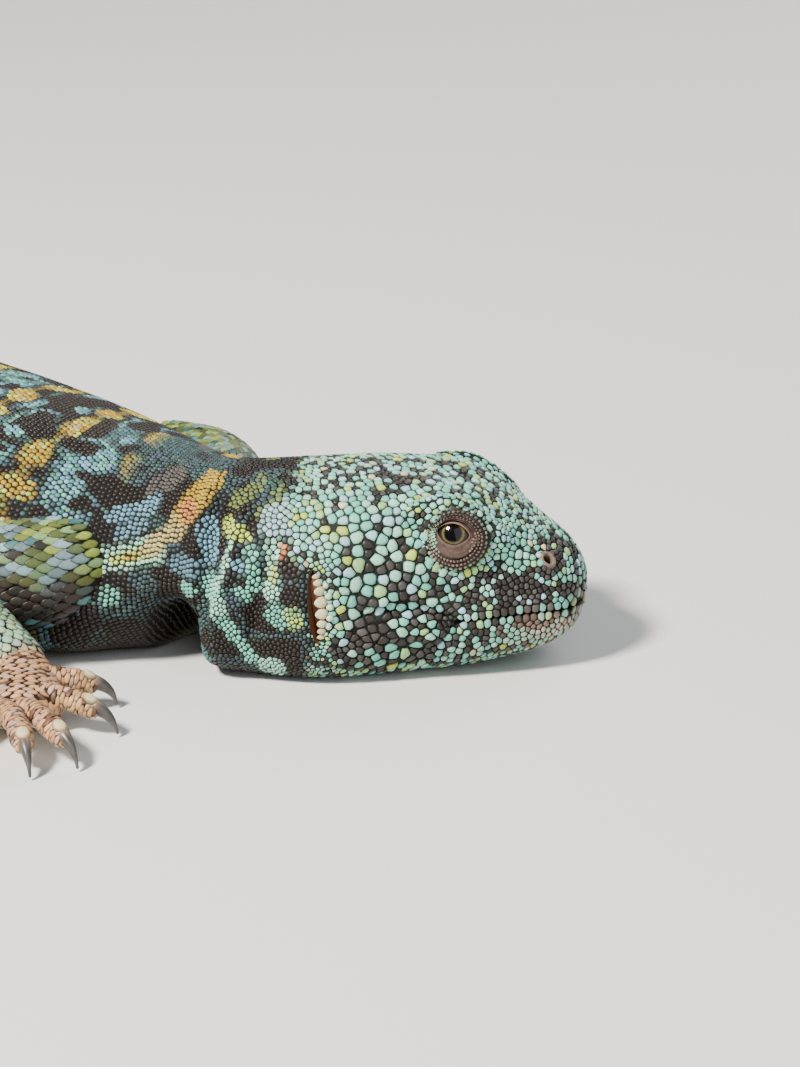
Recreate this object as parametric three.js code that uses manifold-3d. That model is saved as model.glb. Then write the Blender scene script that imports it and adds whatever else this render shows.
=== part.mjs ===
// An ornate spiny-tailed lizard (uromastyx), life size, lying flat with its head turned to its left.
// Millimetres, +Z up, +X towards the front of the torso, +Y to the animal's left. The floor is z = 0.
import * as THREE from 'three';
import { mergeVertices } from 'three/addons/utils/BufferGeometryUtils.js';
import Module from 'manifold-3d';

const wasm = await Module();
wasm.setup();

const { PI, abs, ceil, cos, exp, floor, max, min, round, sign, sin } = Math;

// Driving lengths, measured along the middle of the back from the tip of the snout.
const headEnd = 43;
const neckEnd = 66;
const chestEnd = 96;
const bellyEnd = 140;
const tailStart = 187;
const tailEnd = 343;
const gap = 0.3; // left between two nodes that touch
const clearance = 0.4; // left between the trunk and a limb that leaves it
const trunkSides = 30;
const tailSides = 14;
const headSides = 34;

// The trunk from snout to tail tip:
// place, half width, top, height of the widest line, underside, squareness of the upper and the lower half.
const trunk = [
  [0, 1.6, 13.0, 11, 8.8, 2.0, 2.0],
  [0.7, 4.6, 15.0, 10.4, 5.8, 2.0, 2.2],
  [2.5, 7.2, 17.9, 9.8, 3.6, 2.1, 2.5],
  [5.5, 9.2, 20.2, 9.4, 2.2, 2.3, 2.9],
  [9.5, 11.0, 23.0, 9.2, 1.2, 2.6, 3.1],
  [13, 12.3, 25.2, 9.0, 0.5, 3.0, 3.2],
  [17, 13.6, 26.6, 8.6, 0.0, 3.3, 3.3],
  [22, 15.0, 27.2, 8.2, -0.5, 3.1, 3.3],
  [28, 17.0, 27.4, 7.6, -0.9, 2.7, 3.4],
  [34, 18.8, 27.2, 7.2, -1.1, 2.4, 3.5],
  [40, 19.4, 26.8, 7.2, -1.2, 2.2, 3.4],
  [46, 19.0, 26.4, 7.6, -1.1, 2.1, 3.2],
  [50, 18.0, 26.4, 8.6, -0.8, 2.0, 2.9],
  [54, 17.4, 26.8, 9.4, -0.5, 2.0, 2.7],
  [58, 18.6, 27.6, 9.4, -0.7, 2.0, 2.8],
  [63, 21.2, 28.6, 9.0, -0.9, 2.0, 3.0],
  [70, 24.4, 29.6, 8.6, -1.1, 2.0, 3.1],
  [85, 29.0, 31.0, 8.8, -1.2, 2.1, 3.2],
  [105, 33.4, 32.0, 9.2, -1.3, 2.1, 3.2],
  [128, 35.6, 32.2, 9.2, -1.3, 2.1, 3.2],
  [148, 33.2, 31.0, 9.2, -1.3, 2.1, 3.1],
  [165, 26.0, 27.6, 9.2, -1.1, 2.1, 2.9],
  [178, 19.2, 23.2, 8.4, -0.8, 2.1, 2.7],
  [190, 16.0, 18.8, 7.6, -0.6, 2.2, 2.6],
  [205, 15.4, 16.4, 6.9, -0.6, 2.4, 2.6],
  [230, 14.6, 14.6, 6.1, -0.5, 2.4, 2.6],
  [260, 12.4, 12.4, 5.4, -0.5, 2.4, 2.6],
  [290, 9.4, 9.8, 4.4, -0.5, 2.3, 2.5],
  [315, 6.2, 7.2, 3.4, -0.4, 2.2, 2.3],
  [335, 3.0, 4.4, 2.3, -0.2, 2.0, 2.1],
  [343, 0.9, 2.6, 1.6, 0.4, 2.0, 2.0],
];
const column = { width: 1, top: 2, widest: 3, bottom: 4, crown: 5, keel: 6 };

// The way each place on the trunk faces, in degrees to the left of +X.
const turns = [
  [0, 27], [30, 27], [42, 26.5], [50, 23], [58, 16], [66, 10], [90, 3], [130, -2],
  [175, -7], [205, -5], [235, 3], [270, 14], [305, 23], [343, 28],
];

// Flesh pushed out or in by hand, on both sides alike.
// Each push says where (along, out, up), how far it reaches and how it moves.
const pushes = [
  { name: 'snout tip', at: [0, 0, 11], reach: [3, 8, 8], move: [-0.6, 0, 0] },
  { name: 'brow', at: [16.0, 11.2, 24.6], reach: [6.0, 3.2, 2.6], move: [0, 1.0, 1.2] },
  { name: 'brow front', at: [10.0, 9.2, 22.0], reach: [3.6, 2.4, 2.4], move: [0, 0.6, 0.6] },
  { name: 'crown hollow', at: [17, 0, 27], reach: [7, 4.4, 4], move: [0, 0, -0.6] },
  { name: 'eye hollow front', at: [10.6, 12.0, 18.0], reach: [2.8, 3, 3.2], move: [0, -1.2, 0] },
  { name: 'eye hollow under', at: [17.0, 14.0, 13.8], reach: [5.5, 3, 1.8], move: [0, -0.8, 0] },
  { name: 'eye hollow behind', at: [24.0, 14.0, 20.6], reach: [2.4, 3, 3.4], move: [0, -0.6, 0] },
  { name: 'snout side', at: [7.2, 10, 13.8], reach: [2.6, 3, 2.4], move: [0, -0.6, 0] },
  { name: 'nostril mound', at: [4.2, 7.4, 16.4], reach: [2.0, 2.4, 1.9], move: [-0.2, 0.9, 0.3] },
  { name: 'cheek', at: [29, 17.0, 8.4], reach: [6.5, 4, 5.0], move: [0, 0.5, 0] },
  { name: 'temple', at: [29, 13.0, 24.0], reach: [6, 3, 3], move: [0, 0.5, 0.4] },
  { name: 'throat pouch', at: [48.0, 17.5, 4.0], reach: [2.6, 5, 6.0], move: [0.6, 0.9, 0] },
  { name: 'neck hollow', at: [53.4, 15.0, 2.0], reach: [2.9, 9, 7.5], move: [0.8, -5.2, 1.2] },
  { name: 'shoulder', at: [74, 21.0, 20.0], reach: [8, 6, 6], move: [0, 1.2, 0.4] },
  { name: 'hip', at: [168, 20.0, 20.0], reach: [9, 6, 6], move: [0, 0.9, 0.6] },
];

// The line of the mouth, then the lower edge of the cheek: place and height.
const mouthLine = [[-2, 8.9], [4, 9.6], [10, 10.0], [16, 9.8], [20, 8.2], [25, 5.4], [32, 3.9], [44, 3.4]];
const mouthCut = 0.36;

const eye = { along: 17.0, out: 8.8, up: 20.1, radius: 4.5 };
const lid = { halfLong: 6.1, halfWide: 5.4, halfTall: 5.25 };
const brow = {
  along: 16.4, out: 10.2, up: 24.7,
  halfLong: 6.4, halfWide: 2.3, halfTall: 1.5,
  lean: 12, yaw: -18,
};
const eyeOpening = { halfLong: 2.2, halfTall: 1.45, tilt: -8, forward: -0.3, up: 1.7 };
const nostril = { along: 4.2, out: 8.0, up: 16.8, halfLong: 0.9, halfTall: 0.75, depth: 1.9 };
const ear = { along: 35.3, up: 12.0, halfLong: 1.2, halfTall: 5.4, depth: 3.4, lean: -8, drum: 1.7 };
const earFringe = {
  count: 7, size: 1.2, from: -3.9, to: 4.0,
  least: 0.72, middleExtra: 0.42, // share of the size at the ends of the row, and what its middle adds
  onRim: 0.85, sunk: 0.1, yaw: -20,
  shape: { halfLong: 1.05, halfWide: 0.75, halfTall: 0.6 },
};
const nostrilYaw = 30;
const snoutPlaces = [0.25, 0.9, 2, 3.4, 5, 6.6, 8.4];
const snoutTip = { along: -0.15, up: 10.8 };
const headStep = { from: 10.8, longest: 2.8 };
const mouthSlabSize = { from: -3, beyond: 2, longest: 4, halfWide: 30 };

const whorls = { count: 22, longest: 8.9, shortest: 5.05, step: 0.55 };
// Each whorl carries a row of spines, longest at the sides of the tail and a little shorter over its back.
const spines = {
  apart: 3.45, fewest: 5, lowest: -16, place: 0.66, row: 0.92,
  length: 0.44, side: 1.4, thick: 0.48, flat: 0.8,
  lift: 25, floor: 0.35,
  small: { wide: 0.55, apart: 0.5 }, // share of the width and of the spacing that short whorls keep
  vary: { length: 0.12, wide: 0.08, lift: 0.2, place: 0.03 },
  sunk: { down: 0.3, forward: 0.4 }, whole: 1.4,
  section: [[1, -0.5], [0, 1.25], [-1, -0.5]], // corners at its root, across and over
};
const whorlFlare = 0.4;
const whorlStart = 0.25;
const trimShare = 0.6; // of a whorl that trims the spines hanging over it
const tailCuts = [5, 10, 15]; // whorls in front of each cut

const digitSides = 6;
const clawSides = 5;
const claw = {
  length: 4.9, wide: 0.95, tall: 1.15, rise: 0.4,
  dipFrom: 22, dipTo: 86, bends: 5, taper: 0.75,
  fullWide: 1.6, fullHeight: 3.6, // a digit this thick and this high carries a claw of full length
  thinnest: 0.22, floor: 0.3,
};

// Limbs: points as [forward, outward, up, half width, half height],
// counted from a place on the trunk's middle.
// A digit's arch lists its height along its length, from the hand to the claw.
const frontLimb = {
  from: 62,
  joints: {
    upper: [
      [-2, 12, 14, 7.6, 8.0], [-3, 18, 13.6, 8.0, 8.4],
      [-10, 25, 12.8, 7.8, 8.2], [-20, 29.5, 11.8, 6.8, 7.0],
    ],
    lower: [
      [-20.5, 30, 11.4, 6.4, 6.6], [-12, 31.6, 10.2, 6.2, 6.0],
      [-4, 33.4, 7.4, 5.5, 4.8], [2.2, 34.6, 5.4, 5.2, 4.0],
    ],
    palm: [[3.2, 34.9, 4.8, 5.0, 3.8], [6.8, 38.6, 4.0, 6.0, 3.9], [10.2, 42.0, 3.6, 6.2, 3.3]],
  },
  arch: [3.6, 4.8, 4.8, 3.6],
  digits: [
    { root: [5.2, 36.8], heading: -42, length: 9.9, thick: 1.75 },
    { root: [8.8, 40.2], heading: -20, length: 10.3, thick: 1.8 },
    { root: [10.6, 43.4], heading: 15, length: 11.3, thick: 1.85 },
    { root: [11.0, 45.2], heading: 36, length: 9.7, thick: 1.85 },
    { root: [6.6, 45.2], heading: 76, length: 9.2, thick: 1.75 },
  ],
};
const hindLimb = {
  from: 168,
  joints: {
    upper: [
      [-1, 8, 12, 9.5, 9.0], [2, 16, 12.4, 9.4, 9.2],
      [9, 27, 12.0, 8.4, 8.2], [17, 37, 10.8, 6.7, 6.8],
    ],
    lower: [
      [17.5, 37.5, 10.4, 6.2, 6.4], [8, 40.5, 9.4, 6.6, 6.2],
      [-3, 43.5, 6.6, 5.0, 4.8], [-7, 45, 5.4, 4.5, 4.0],
    ],
    palm: [[-7.5, 45.4, 4.6, 4.3, 3.8], [-3, 50, 4.0, 5.6, 3.8], [1.5, 54, 3.4, 6.4, 3.2]],
  },
  arch: [3.2, 3.6, 3.4, 3.0],
  digits: [
    { root: [1.5, 49.0], heading: 2, length: 9.6, thick: 1.8 },
    { root: [4.2, 52.0], heading: 22, length: 12.6, thick: 1.9 },
    { root: [4.4, 55.2], heading: 40, length: 15.2, thick: 1.9 },
    { root: [2.4, 57.6], heading: 60, length: 16.2, thick: 1.9 },
    { root: [-1.6, 56.6], heading: 98, length: 10.8, thick: 1.75 },
  ],
};

// How far each hand or foot is set forward and outward of the common stance,
// and turned outward, in degrees.
const stances = {
  front_right: { forward: 0, outward: 0, turn: 0 },
  front_left: { forward: -7, outward: 2, turn: 9 },
  hind_right: { forward: 0, outward: 0, turn: 0 },
  hind_left: { forward: 8, outward: -2, turn: -10 },
};
const stanceShares = { upper: [0, 0.5], lower: [0.5, 1], palm: [1, 1] };

const colours = {
  turquoise: [0x7fb8a8, 0.55],
  darkSkin: [0x4a4a40, 0.6],
  bandedSkin: [0x5d6f5c, 0.6],
  limbGreen: [0x7d8a5e, 0.6],
  sand: [0xc49a72, 0.65],
  clawHorn: [0x5e544e, 0.4],
  eyeball: [0x14110e, 0.1],
  eardrum: [0x7a4a26, 0.5],
  tailGreen: [0x7f8a63, 0.6],
};

const weld = 1e-4;
const roundEnd = { share: 0.55, reach: 0.62 }; // of a limb's thickness
const tangentStep = 0.05;
const beyondTail = 5;

const radians = (degrees) => (degrees * PI) / 180;

// Every column of a table at a place between its rows, on a smooth curve through them.
function rowAt(table, place) {
  const last = table.length - 1;
  let i = 0;
  while (i < last - 1 && place > table[i + 1][0]) i += 1;
  const [a, b] = [table[i], table[i + 1]];
  const before = table[max(i - 1, 0)];
  const after = table[min(i + 2, last)];
  const span = b[0] - a[0];
  const t = min(1, max(0, (place - a[0]) / span));
  const [h0, h1] = [(1 + 2 * t) * (1 - t) ** 2, t * (1 - t) ** 2];
  const [h2, h3] = [t * t * (3 - 2 * t), t * t * (t - 1)];
  return a.map((value, k) => {
    const slopeA = (b[k] - before[k]) / (b[0] - before[0]);
    const slopeB = (after[k] - a[k]) / (after[0] - a[0]);
    return h0 * value + h1 * span * slopeA + h2 * b[k] + h3 * span * slopeB;
  });
}

// The middle line of the trunk on the floor plan, in steps of half a millimetre from the snout.
const walkStep = 0.5;
const walk = [{ x: 0, y: 0 }];
for (let s = 0; s < tailEnd + beyondTail; s += walkStep) {
  const facing = radians(rowAt(turns, s + walkStep / 2)[1]);
  const here = walk.at(-1);
  walk.push({ x: here.x - walkStep * cos(facing), y: here.y - walkStep * sin(facing) });
}

function middleAt(s) {
  const step = s / walkStep;
  const i = max(0, min(walk.length - 2, floor(step)));
  const share = step - i;
  const facing = radians(rowAt(turns, s)[1]);
  const shoulder = walk[round(neckEnd / walkStep)];
  return {
    x: walk[i].x + share * (walk[i + 1].x - walk[i].x) - shoulder.x,
    y: walk[i].y + share * (walk[i + 1].y - walk[i].y) - shoulder.y,
    facing,
  };
}

// A point given along, out to the left of, and above the trunk's middle line.
function onTrunk(s, out, up) {
  const m = middleAt(s);
  return new THREE.Vector3(m.x - out * sin(m.facing), m.y + out * cos(m.facing), up);
}

const pushLimit = 9;

function pushed(s, out, up) {
  const moved = [s, out, up];
  const here = [s, abs(out), up];
  for (const { at, reach, move } of pushes) {
    const far = here.reduce((sum, value, k) => sum + ((value - at[k]) / reach[k]) ** 2, 0);
    if (far > pushLimit) continue;
    const share = exp(-far);
    moved[0] += move[0] * share;
    moved[1] += move[1] * share * (out < 0 ? -1 : 1) * (at[1] ? 1 : 0);
    moved[2] += move[2] * share;
  }
  return moved;
}

const power = (value, squareness) => sign(value) * abs(value) ** (2 / squareness);

// One ring of the trunk's surface, as points in order round it.
function trunkRing(s, { sides, grow = 0, swell = 1, slip = 0 }) {
  const row = rowAt(trunk, s);
  const ring = [];
  for (let k = 0; k < sides; k += 1) {
    const angle = (2 * PI * k) / sides;
    const [c, q] = [cos(angle), sin(angle)];
    const squareness = q >= 0 ? row[column.crown] : row[column.keel];
    const height = q >= 0 ? row[column.top] - row[column.widest] : row[column.widest] - row[column.bottom];
    const out = (row[column.width] * swell + grow) * power(c, squareness);
    const up = row[column.widest] + (height * swell + grow) * power(q, squareness);
    const [ps, po, pu] = pushed(s, out, up);
    ring.push(onTrunk(ps + slip, po, max(pu, -grow)));
  }
  return ring;
}

// A closed shape from rings of equal length, with a fan over each end.
function loft(rings, endPoints = []) {
  const sides = rings[0].length;
  const mean = (ring) => ring.reduce((sum, p) => sum.add(p), new THREE.Vector3()).divideScalar(sides);
  const points = rings.flat();
  const first = points.push(endPoints[0] ?? mean(rings[0])) - 1;
  const last = points.push(endPoints[1] ?? mean(rings.at(-1))) - 1;
  const faces = [];
  for (let k = 0; k < sides; k += 1) {
    const next = (k + 1) % sides;
    faces.push([first, next, k]);
    for (let r = 0; r < rings.length - 1; r += 1) {
      const [a, b] = [r * sides + k, r * sides + next];
      faces.push([a, b, b + sides], [a, b + sides, a + sides]);
    }
    const end = (rings.length - 1) * sides;
    faces.push([last, end + k, end + next]);
  }
  return solidFrom(points, faces);
}

// A solid from points and triangles, turned so that its faces point outwards.
function solidFrom(points, faces) {
  const sixVolumes = faces.map(([a, b, c]) => points[a].dot(points[b].clone().cross(points[c])));
  const volume = sixVolumes.reduce((sum, one) => sum + one, 0);
  const triVerts = new Uint32Array(faces.flatMap(([a, b, c]) => (volume < 0 ? [a, c, b] : [a, b, c])));
  const vertProperties = new Float32Array(points.flatMap((p) => [p.x, p.y, p.z]));
  return new wasm.Manifold(new wasm.Mesh({ numProp: 3, vertProperties, triVerts }));
}

// A three.js shape, placed by a matrix, as a solid.
function solidOf(geometry, matrix = new THREE.Matrix4()) {
  const placed = geometry.clone().applyMatrix4(matrix);
  placed.deleteAttribute('normal');
  placed.deleteAttribute('uv');
  const merged = mergeVertices(placed, weld);
  return new wasm.Manifold(new wasm.Mesh({
    numProp: 3,
    vertProperties: new Float32Array(merged.attributes.position.array),
    triVerts: new Uint32Array(merged.index.array),
  }));
}

function largest(solid) {
  return solid.decompose().reduce((best, one) => (one.volume() > best.volume() ? one : best));
}

const places = (from, to, longest) => {
  const steps = max(1, ceil((to - from) / longest));
  return Array.from({ length: steps + 1 }, (_, i) => from + ((to - from) * i) / steps);
};

// A matrix at a point of the trunk: x forward, y to the left, z up, turned and leaned as asked.
function trunkFrame(s, out, up, { lean = 0, yaw = 0, roll = 0 } = {}) {
  const facing = middleAt(s).facing;
  const turn = new THREE.Euler(radians(roll), radians(lean), facing + radians(yaw), 'ZYX');
  return new THREE.Matrix4().makeRotationFromEuler(turn).setPosition(onTrunk(s, out, up));
}

const ellipsoid = (halfLong, halfWide, halfTall, sides = 12, rings = 8) =>
  new THREE.SphereGeometry(1, sides, rings).rotateX(PI / 2).scale(halfLong, halfWide, halfTall);

// Head and jaw in one, before the mouth is cut.
function wholeHead() {
  const along = [...snoutPlaces, ...places(headStep.from, headEnd - gap / 2, headStep.longest)];
  const rings = along.map((s) => trunkRing(s, { sides: headSides }));
  return loft(rings, [onTrunk(snoutTip.along, 0, snoutTip.up)]);
}

// A thin bent slab that follows the line of the mouth through the whole head.
function mouthSlab() {
  const { from, beyond, longest, halfWide } = mouthSlabSize;
  const line = places(from, headEnd + beyond, longest).map((s) => [s, rowAt(mouthLine, s)[1]]);
  const corners = ([s, up]) => [
    onTrunk(s, halfWide, up - mouthCut / 2), onTrunk(s, halfWide, up + mouthCut / 2),
    onTrunk(s, -halfWide, up + mouthCut / 2), onTrunk(s, -halfWide, up - mouthCut / 2),
  ];
  return loft(line.map(corners));
}

function lids(side) {
  const bulge = ellipsoid(lid.halfLong, lid.halfWide, lid.halfTall, 14, 10);
  return solidOf(bulge, trunkFrame(eye.along, side * eye.out, eye.up));
}

// The ridge over the eye, from behind it down towards the nostril.
function browRidge(side) {
  const ridge = ellipsoid(brow.halfLong, brow.halfWide, brow.halfTall, 10, 6);
  const turn = { lean: brow.lean, yaw: side * brow.yaw };
  const at = trunkFrame(brow.along, side * brow.out, brow.up, turn);
  return solidOf(ridge, at);
}

function eyeSocket(side) {
  const hollow = eye.radius + gap;
  const middle = trunkFrame(eye.along, side * eye.out, eye.up);
  const ball = solidOf(ellipsoid(hollow, hollow, hollow, 14, 10), middle);
  const slit = new THREE.CylinderGeometry(1, 1, 8, 14).scale(eyeOpening.halfLong, 1, eyeOpening.halfTall);
  const at = trunkFrame(
    eye.along + eyeOpening.forward, side * (eye.out + 5), eye.up + eyeOpening.up, { lean: eyeOpening.tilt },
  );
  return ball.add(solidOf(slit, at));
}

function eyeball(side) {
  const ball = ellipsoid(eye.radius, eye.radius, eye.radius, 12, 8);
  return solidOf(ball, trunkFrame(eye.along, side * eye.out, eye.up));
}

function nostrilPit(side) {
  const pit = ellipsoid(nostril.halfLong, nostril.depth, nostril.halfTall, 8, 6);
  return solidOf(pit, trunkFrame(nostril.along, side * nostril.out, nostril.up, { yaw: side * nostrilYaw }));
}

const cheekOut = (s, up) => {
  const row = rowAt(trunk, s);
  const upper = up >= row[column.widest];
  const height = upper ? row[column.top] - row[column.widest] : row[column.widest] - row[column.bottom];
  const squareness = upper ? row[column.crown] : row[column.keel];
  const share = min(1, abs(up - row[column.widest]) / height);
  return pushed(s, row[column.width] * (1 - share ** squareness) ** (1 / squareness), up)[1];
};

function earCup(side) {
  const out = cheekOut(ear.along, ear.up);
  const cup = ellipsoid(ear.halfLong, ear.depth, ear.halfTall, 10, 10);
  return solidOf(cup, trunkFrame(ear.along, side * out, ear.up, { lean: ear.lean }));
}

// The eardrum fills the bottom of the cup, a gap away from its wall.
function eardrum(side) {
  const out = cheekOut(ear.along, ear.up);
  const inner = ellipsoid(ear.halfLong - gap, ear.depth - gap, ear.halfTall - gap, 8, 8);
  const shallow = new THREE.BoxGeometry(4 * ear.halfLong, 2 * ear.depth, 3 * ear.halfTall);
  const mouthOfCup = trunkFrame(ear.along, side * (out + ear.depth - ear.drum), ear.up, { lean: ear.lean });
  return solidOf(inner, trunkFrame(ear.along, side * out, ear.up, { lean: ear.lean }))
    .subtract(solidOf(shallow, mouthOfCup));
}

// The row of blunt, toothed scales along the front edge of the ear.
function earScales(side) {
  const scales = [];
  for (let k = 0; k < earFringe.count; k += 1) {
    const share = k / (earFringe.count - 1);
    const rise = earFringe.from + (earFringe.to - earFringe.from) * share;
    const size = earFringe.size * (earFringe.least + earFringe.middleExtra * sin(PI * share));
    const forward = ear.along - ear.halfLong * earFringe.onRim - rise * sin(radians(ear.lean));
    const out = cheekOut(forward, ear.up + rise) - earFringe.sunk;
    const { halfLong, halfWide, halfTall } = earFringe.shape;
    const scale = ellipsoid(size * halfLong, size * halfWide, size * halfTall, 6, 4);
    const at = trunkFrame(forward, side * out, ear.up + rise, { yaw: side * earFringe.yaw });
    scales.push(solidOf(scale, at));
  }
  return scales;
}

// Points of a limb's part in the model's frame. side is 1 for left and -1 for right.
function limbStations(limb, part, side, stance) {
  const root = middleAt(limb.from);
  const rows = limb.joints[part];
  const [from, to] = stanceShares[part];
  return rows.map(([forward, outward, up, wide, tall], i) => {
    const share = from + ((to - from) * i) / (rows.length - 1);
    const x = root.x + forward + share * stance.forward;
    return [i, x, root.y + side * (outward + share * stance.outward), up, wide, tall];
  });
}

// A round-ended tube along stations [count, x, y, z, half width, half height].
function tube(stations, { sides, steps, grow = 0, ends = [true, true] }) {
  const last = stations.length - 1;
  const pointAt = (t) => new THREE.Vector3(...rowAt(stations, t).slice(1, 4));
  const ring = (t, scale, slip) => {
    const row = rowAt(stations, t);
    const tangent = pointAt(min(last, t + tangentStep)).sub(pointAt(max(0, t - tangentStep))).normalize();
    const across = new THREE.Vector3(0, 0, 1).cross(tangent).normalize();
    const over = tangent.clone().cross(across);
    const middle = pointAt(t).addScaledVector(tangent, slip);
    return Array.from({ length: sides }, (_, k) => {
      const angle = (2 * PI * (k + 0.5)) / sides;
      const p = middle.clone()
        .addScaledVector(across, (row[4] * scale + grow) * cos(angle))
        .addScaledVector(over, (row[5] * scale + grow) * sin(angle));
      p.z = max(p.z, -grow);
      return p;
    });
  };
  const rings = [];
  const thickAt = (t) => min(...rowAt(stations, t).slice(4, 6));
  const { share, reach } = roundEnd;
  if (ends[0]) rings.push(ring(0, share, -reach * thickAt(0) - grow));
  for (const t of places(0, last, last / steps)) rings.push(ring(t, 1, 0));
  if (ends[1]) rings.push(ring(last, share, reach * thickAt(last) + grow));
  return loft(rings);
}

// The middle line of a digit, over its knuckles to the claw.
const digitShares = [-0.3, 0.25, 0.65, 1];
const digitTaper = [1.08, 1, 0.98, 0.88];

function digitStations(limb, digit, side, stance) {
  const root = middleAt(limb.from);
  const heading = radians(digit.heading + stance.turn);
  return digitShares.map((share, i) => [
    i,
    root.x + digit.root[0] + stance.forward + share * digit.length * cos(heading),
    root.y + side * (digit.root[1] + stance.outward + share * digit.length * sin(heading)),
    limb.arch[i],
    digit.thick * digitTaper[i],
    digit.thick * digitTaper[i],
  ]);
}

// A claw leaves the end of its digit, arches, and comes down to the floor.
function clawStations(stations) {
  const [, x, y, z, wide] = stations.at(-1);
  const [, px, py] = stations.at(-2);
  const level = new THREE.Vector3(x - px, y - py, 0).normalize();
  const at = new THREE.Vector3(x, y, z + claw.rise).addScaledVector(level, gap);
  const rows = [];
  const stepLong = (claw.length / claw.bends) * min(wide / claw.fullWide, z / claw.fullHeight);
  for (let i = 0; i <= claw.bends; i += 1) {
    const share = i / claw.bends;
    const thick = (1 - share) ** claw.taper;
    const halves = [claw.wide, claw.tall].map((half) => max(claw.thinnest, half * thick));
    rows.push([i, at.x, at.y, max(at.z, claw.floor), ...halves]);
    const dip = radians(claw.dipFrom + (claw.dipTo - claw.dipFrom) * share);
    at.addScaledVector(level, stepLong * cos(dip));
    at.z -= stepLong * sin(dip);
  }
  return rows;
}

const model = new THREE.Group();

function addNode(name, solid, look) {
  const { vertProperties, numProp, triVerts } = largest(solid).getMesh();
  const geometry = new THREE.BufferGeometry();
  geometry.setAttribute('position', new THREE.BufferAttribute(new Float32Array(vertProperties), numProp));
  geometry.setIndex(new THREE.BufferAttribute(triVerts, 1));
  geometry.computeVertexNormals();
  const [color, roughness] = colours[look];
  const mesh = new THREE.Mesh(geometry, new THREE.MeshStandardMaterial({ color, roughness, metalness: 0 }));
  mesh.name = name;
  model.add(mesh);
}

const sidesOfBody = [['right', -1], ['left', 1]];

function addHead() {
  const halves = wholeHead().subtract(mouthSlab()).decompose();
  const height = (solid) => solid.boundingBox().max[2];
  const [upper, lower] = halves.sort((a, b) => b.volume() - a.volume()).slice(0, 2)
    .sort((a, b) => height(b) - height(a));
  let skull = upper;
  for (const [, side] of sidesOfBody) {
    skull = skull.add(lids(side)).add(browRidge(side));
    skull = skull.subtract(eyeSocket(side)).subtract(nostrilPit(side)).subtract(earCup(side));
    for (const scale of earScales(side)) skull = skull.add(scale);
  }
  addNode('head', skull.subtract(mouthSlab()), 'turquoise');
  addNode('jaw', lower, 'turquoise');
  for (const [word, side] of sidesOfBody) {
    addNode(`eye_${word}`, eyeball(side), 'eyeball');
    addNode(`eardrum_${word}`, eardrum(side), 'eardrum');
  }
}

// Name, where it starts and ends, and the longest step between its rings.
const trunkNodes = [
  ['neck', headEnd, neckEnd, 3.2],
  ['chest', neckEnd, chestEnd, 6.5],
  ['belly', chestEnd, bellyEnd, 9],
  ['hips', bellyEnd, tailStart, 7],
];
const nodePlaces = ([, from, to, longest]) => places(from + gap / 2, to - gap / 2, longest);

function addTrunk() {
  for (const node of trunkNodes) {
    addNode(node[0], loft(nodePlaces(node).map((s) => trunkRing(s, { sides: trunkSides }))), 'bandedSkin');
  }
}

// The trunk a little larger all over, for cutting the limbs clear of it.
function clearanceBody() {
  const along = [...trunkNodes.flatMap(nodePlaces), tailStart + 4, tailStart + 12];
  return loft(along.map((s) => trunkRing(s, { sides: trunkSides, grow: clearance })));
}

// Where each whorl of the tail starts, and how long it is.
function whorlPlaces() {
  const made = [];
  let s = tailStart;
  for (let k = 0; k < whorls.count; k += 1) {
    const share = k / (whorls.count - 1);
    const length = whorls.longest + (whorls.shortest - whorls.longest) * share;
    made.push({ s, length });
    s += length;
  }
  return made;
}

// The same draws every time, each between -1 and 1.
let drawn = 7;
const vary = () => {
  drawn = (drawn * 16807) % 2147483647;
  return (drawn / 2147483647) * 2 - 1;
};

// A share that falls with the length of the whorl, down to the smallest where the whorl has no length.
const smallShare = (smallest, length) => smallest + ((1 - smallest) * length) / whorls.longest;

// A spine with a keel along its back, pointing back and out, its root sunk into the whorl.
function spineAt(s, angle, whorlLength) {
  const row = rowAt(trunk, s);
  const [c, q] = [cos(angle), sin(angle)];
  const height = q >= 0 ? row[column.top] - row[column.widest] : row[column.widest] - row[column.bottom];
  const squareness = q >= 0 ? row[column.crown] : row[column.keel];
  const out = row[column.width] * power(c, squareness);
  const up = row[column.widest] + height * power(q, squareness);
  const sideShare = 1 + (spines.side - 1) * c * c;
  const long = whorlLength * spines.length * sideShare * (1 + spines.vary.length * vary());
  const wide = spines.thick * spines.apart * smallShare(spines.small.wide, whorlLength)
    * (1 + spines.vary.wide * vary());
  const m = middleAt(s);
  const back = new THREE.Vector3(-cos(m.facing), -sin(m.facing), 0);
  const away = new THREE.Vector3(-c * sin(m.facing), c * cos(m.facing), q).normalize();
  const lift = radians(spines.lift * (1 + spines.vary.lift * vary()));
  const along = back.clone().multiplyScalar(cos(lift)).addScaledVector(away, sin(lift)).normalize();
  const over = away.clone().addScaledVector(along, -away.dot(along)).normalize();
  const across = over.clone().cross(along);
  const root = onTrunk(s, out, up)
    .addScaledVector(away, -spines.sunk.down * wide)
    .addScaledVector(along, -spines.sunk.forward * long);
  const tip = root.clone().addScaledVector(along, spines.whole * long);
  tip.z = max(tip.z, spines.floor);
  const corners = spines.section.map(([a, b]) => {
    const p = root.clone().addScaledVector(across, a * wide).addScaledVector(over, b * spines.flat * wide);
    p.z = max(p.z, spines.floor);
    return p;
  });
  return solidFrom([...corners, tip], [[0, 1, 3], [1, 2, 3], [2, 0, 3], [0, 2, 1]]);
}

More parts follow.
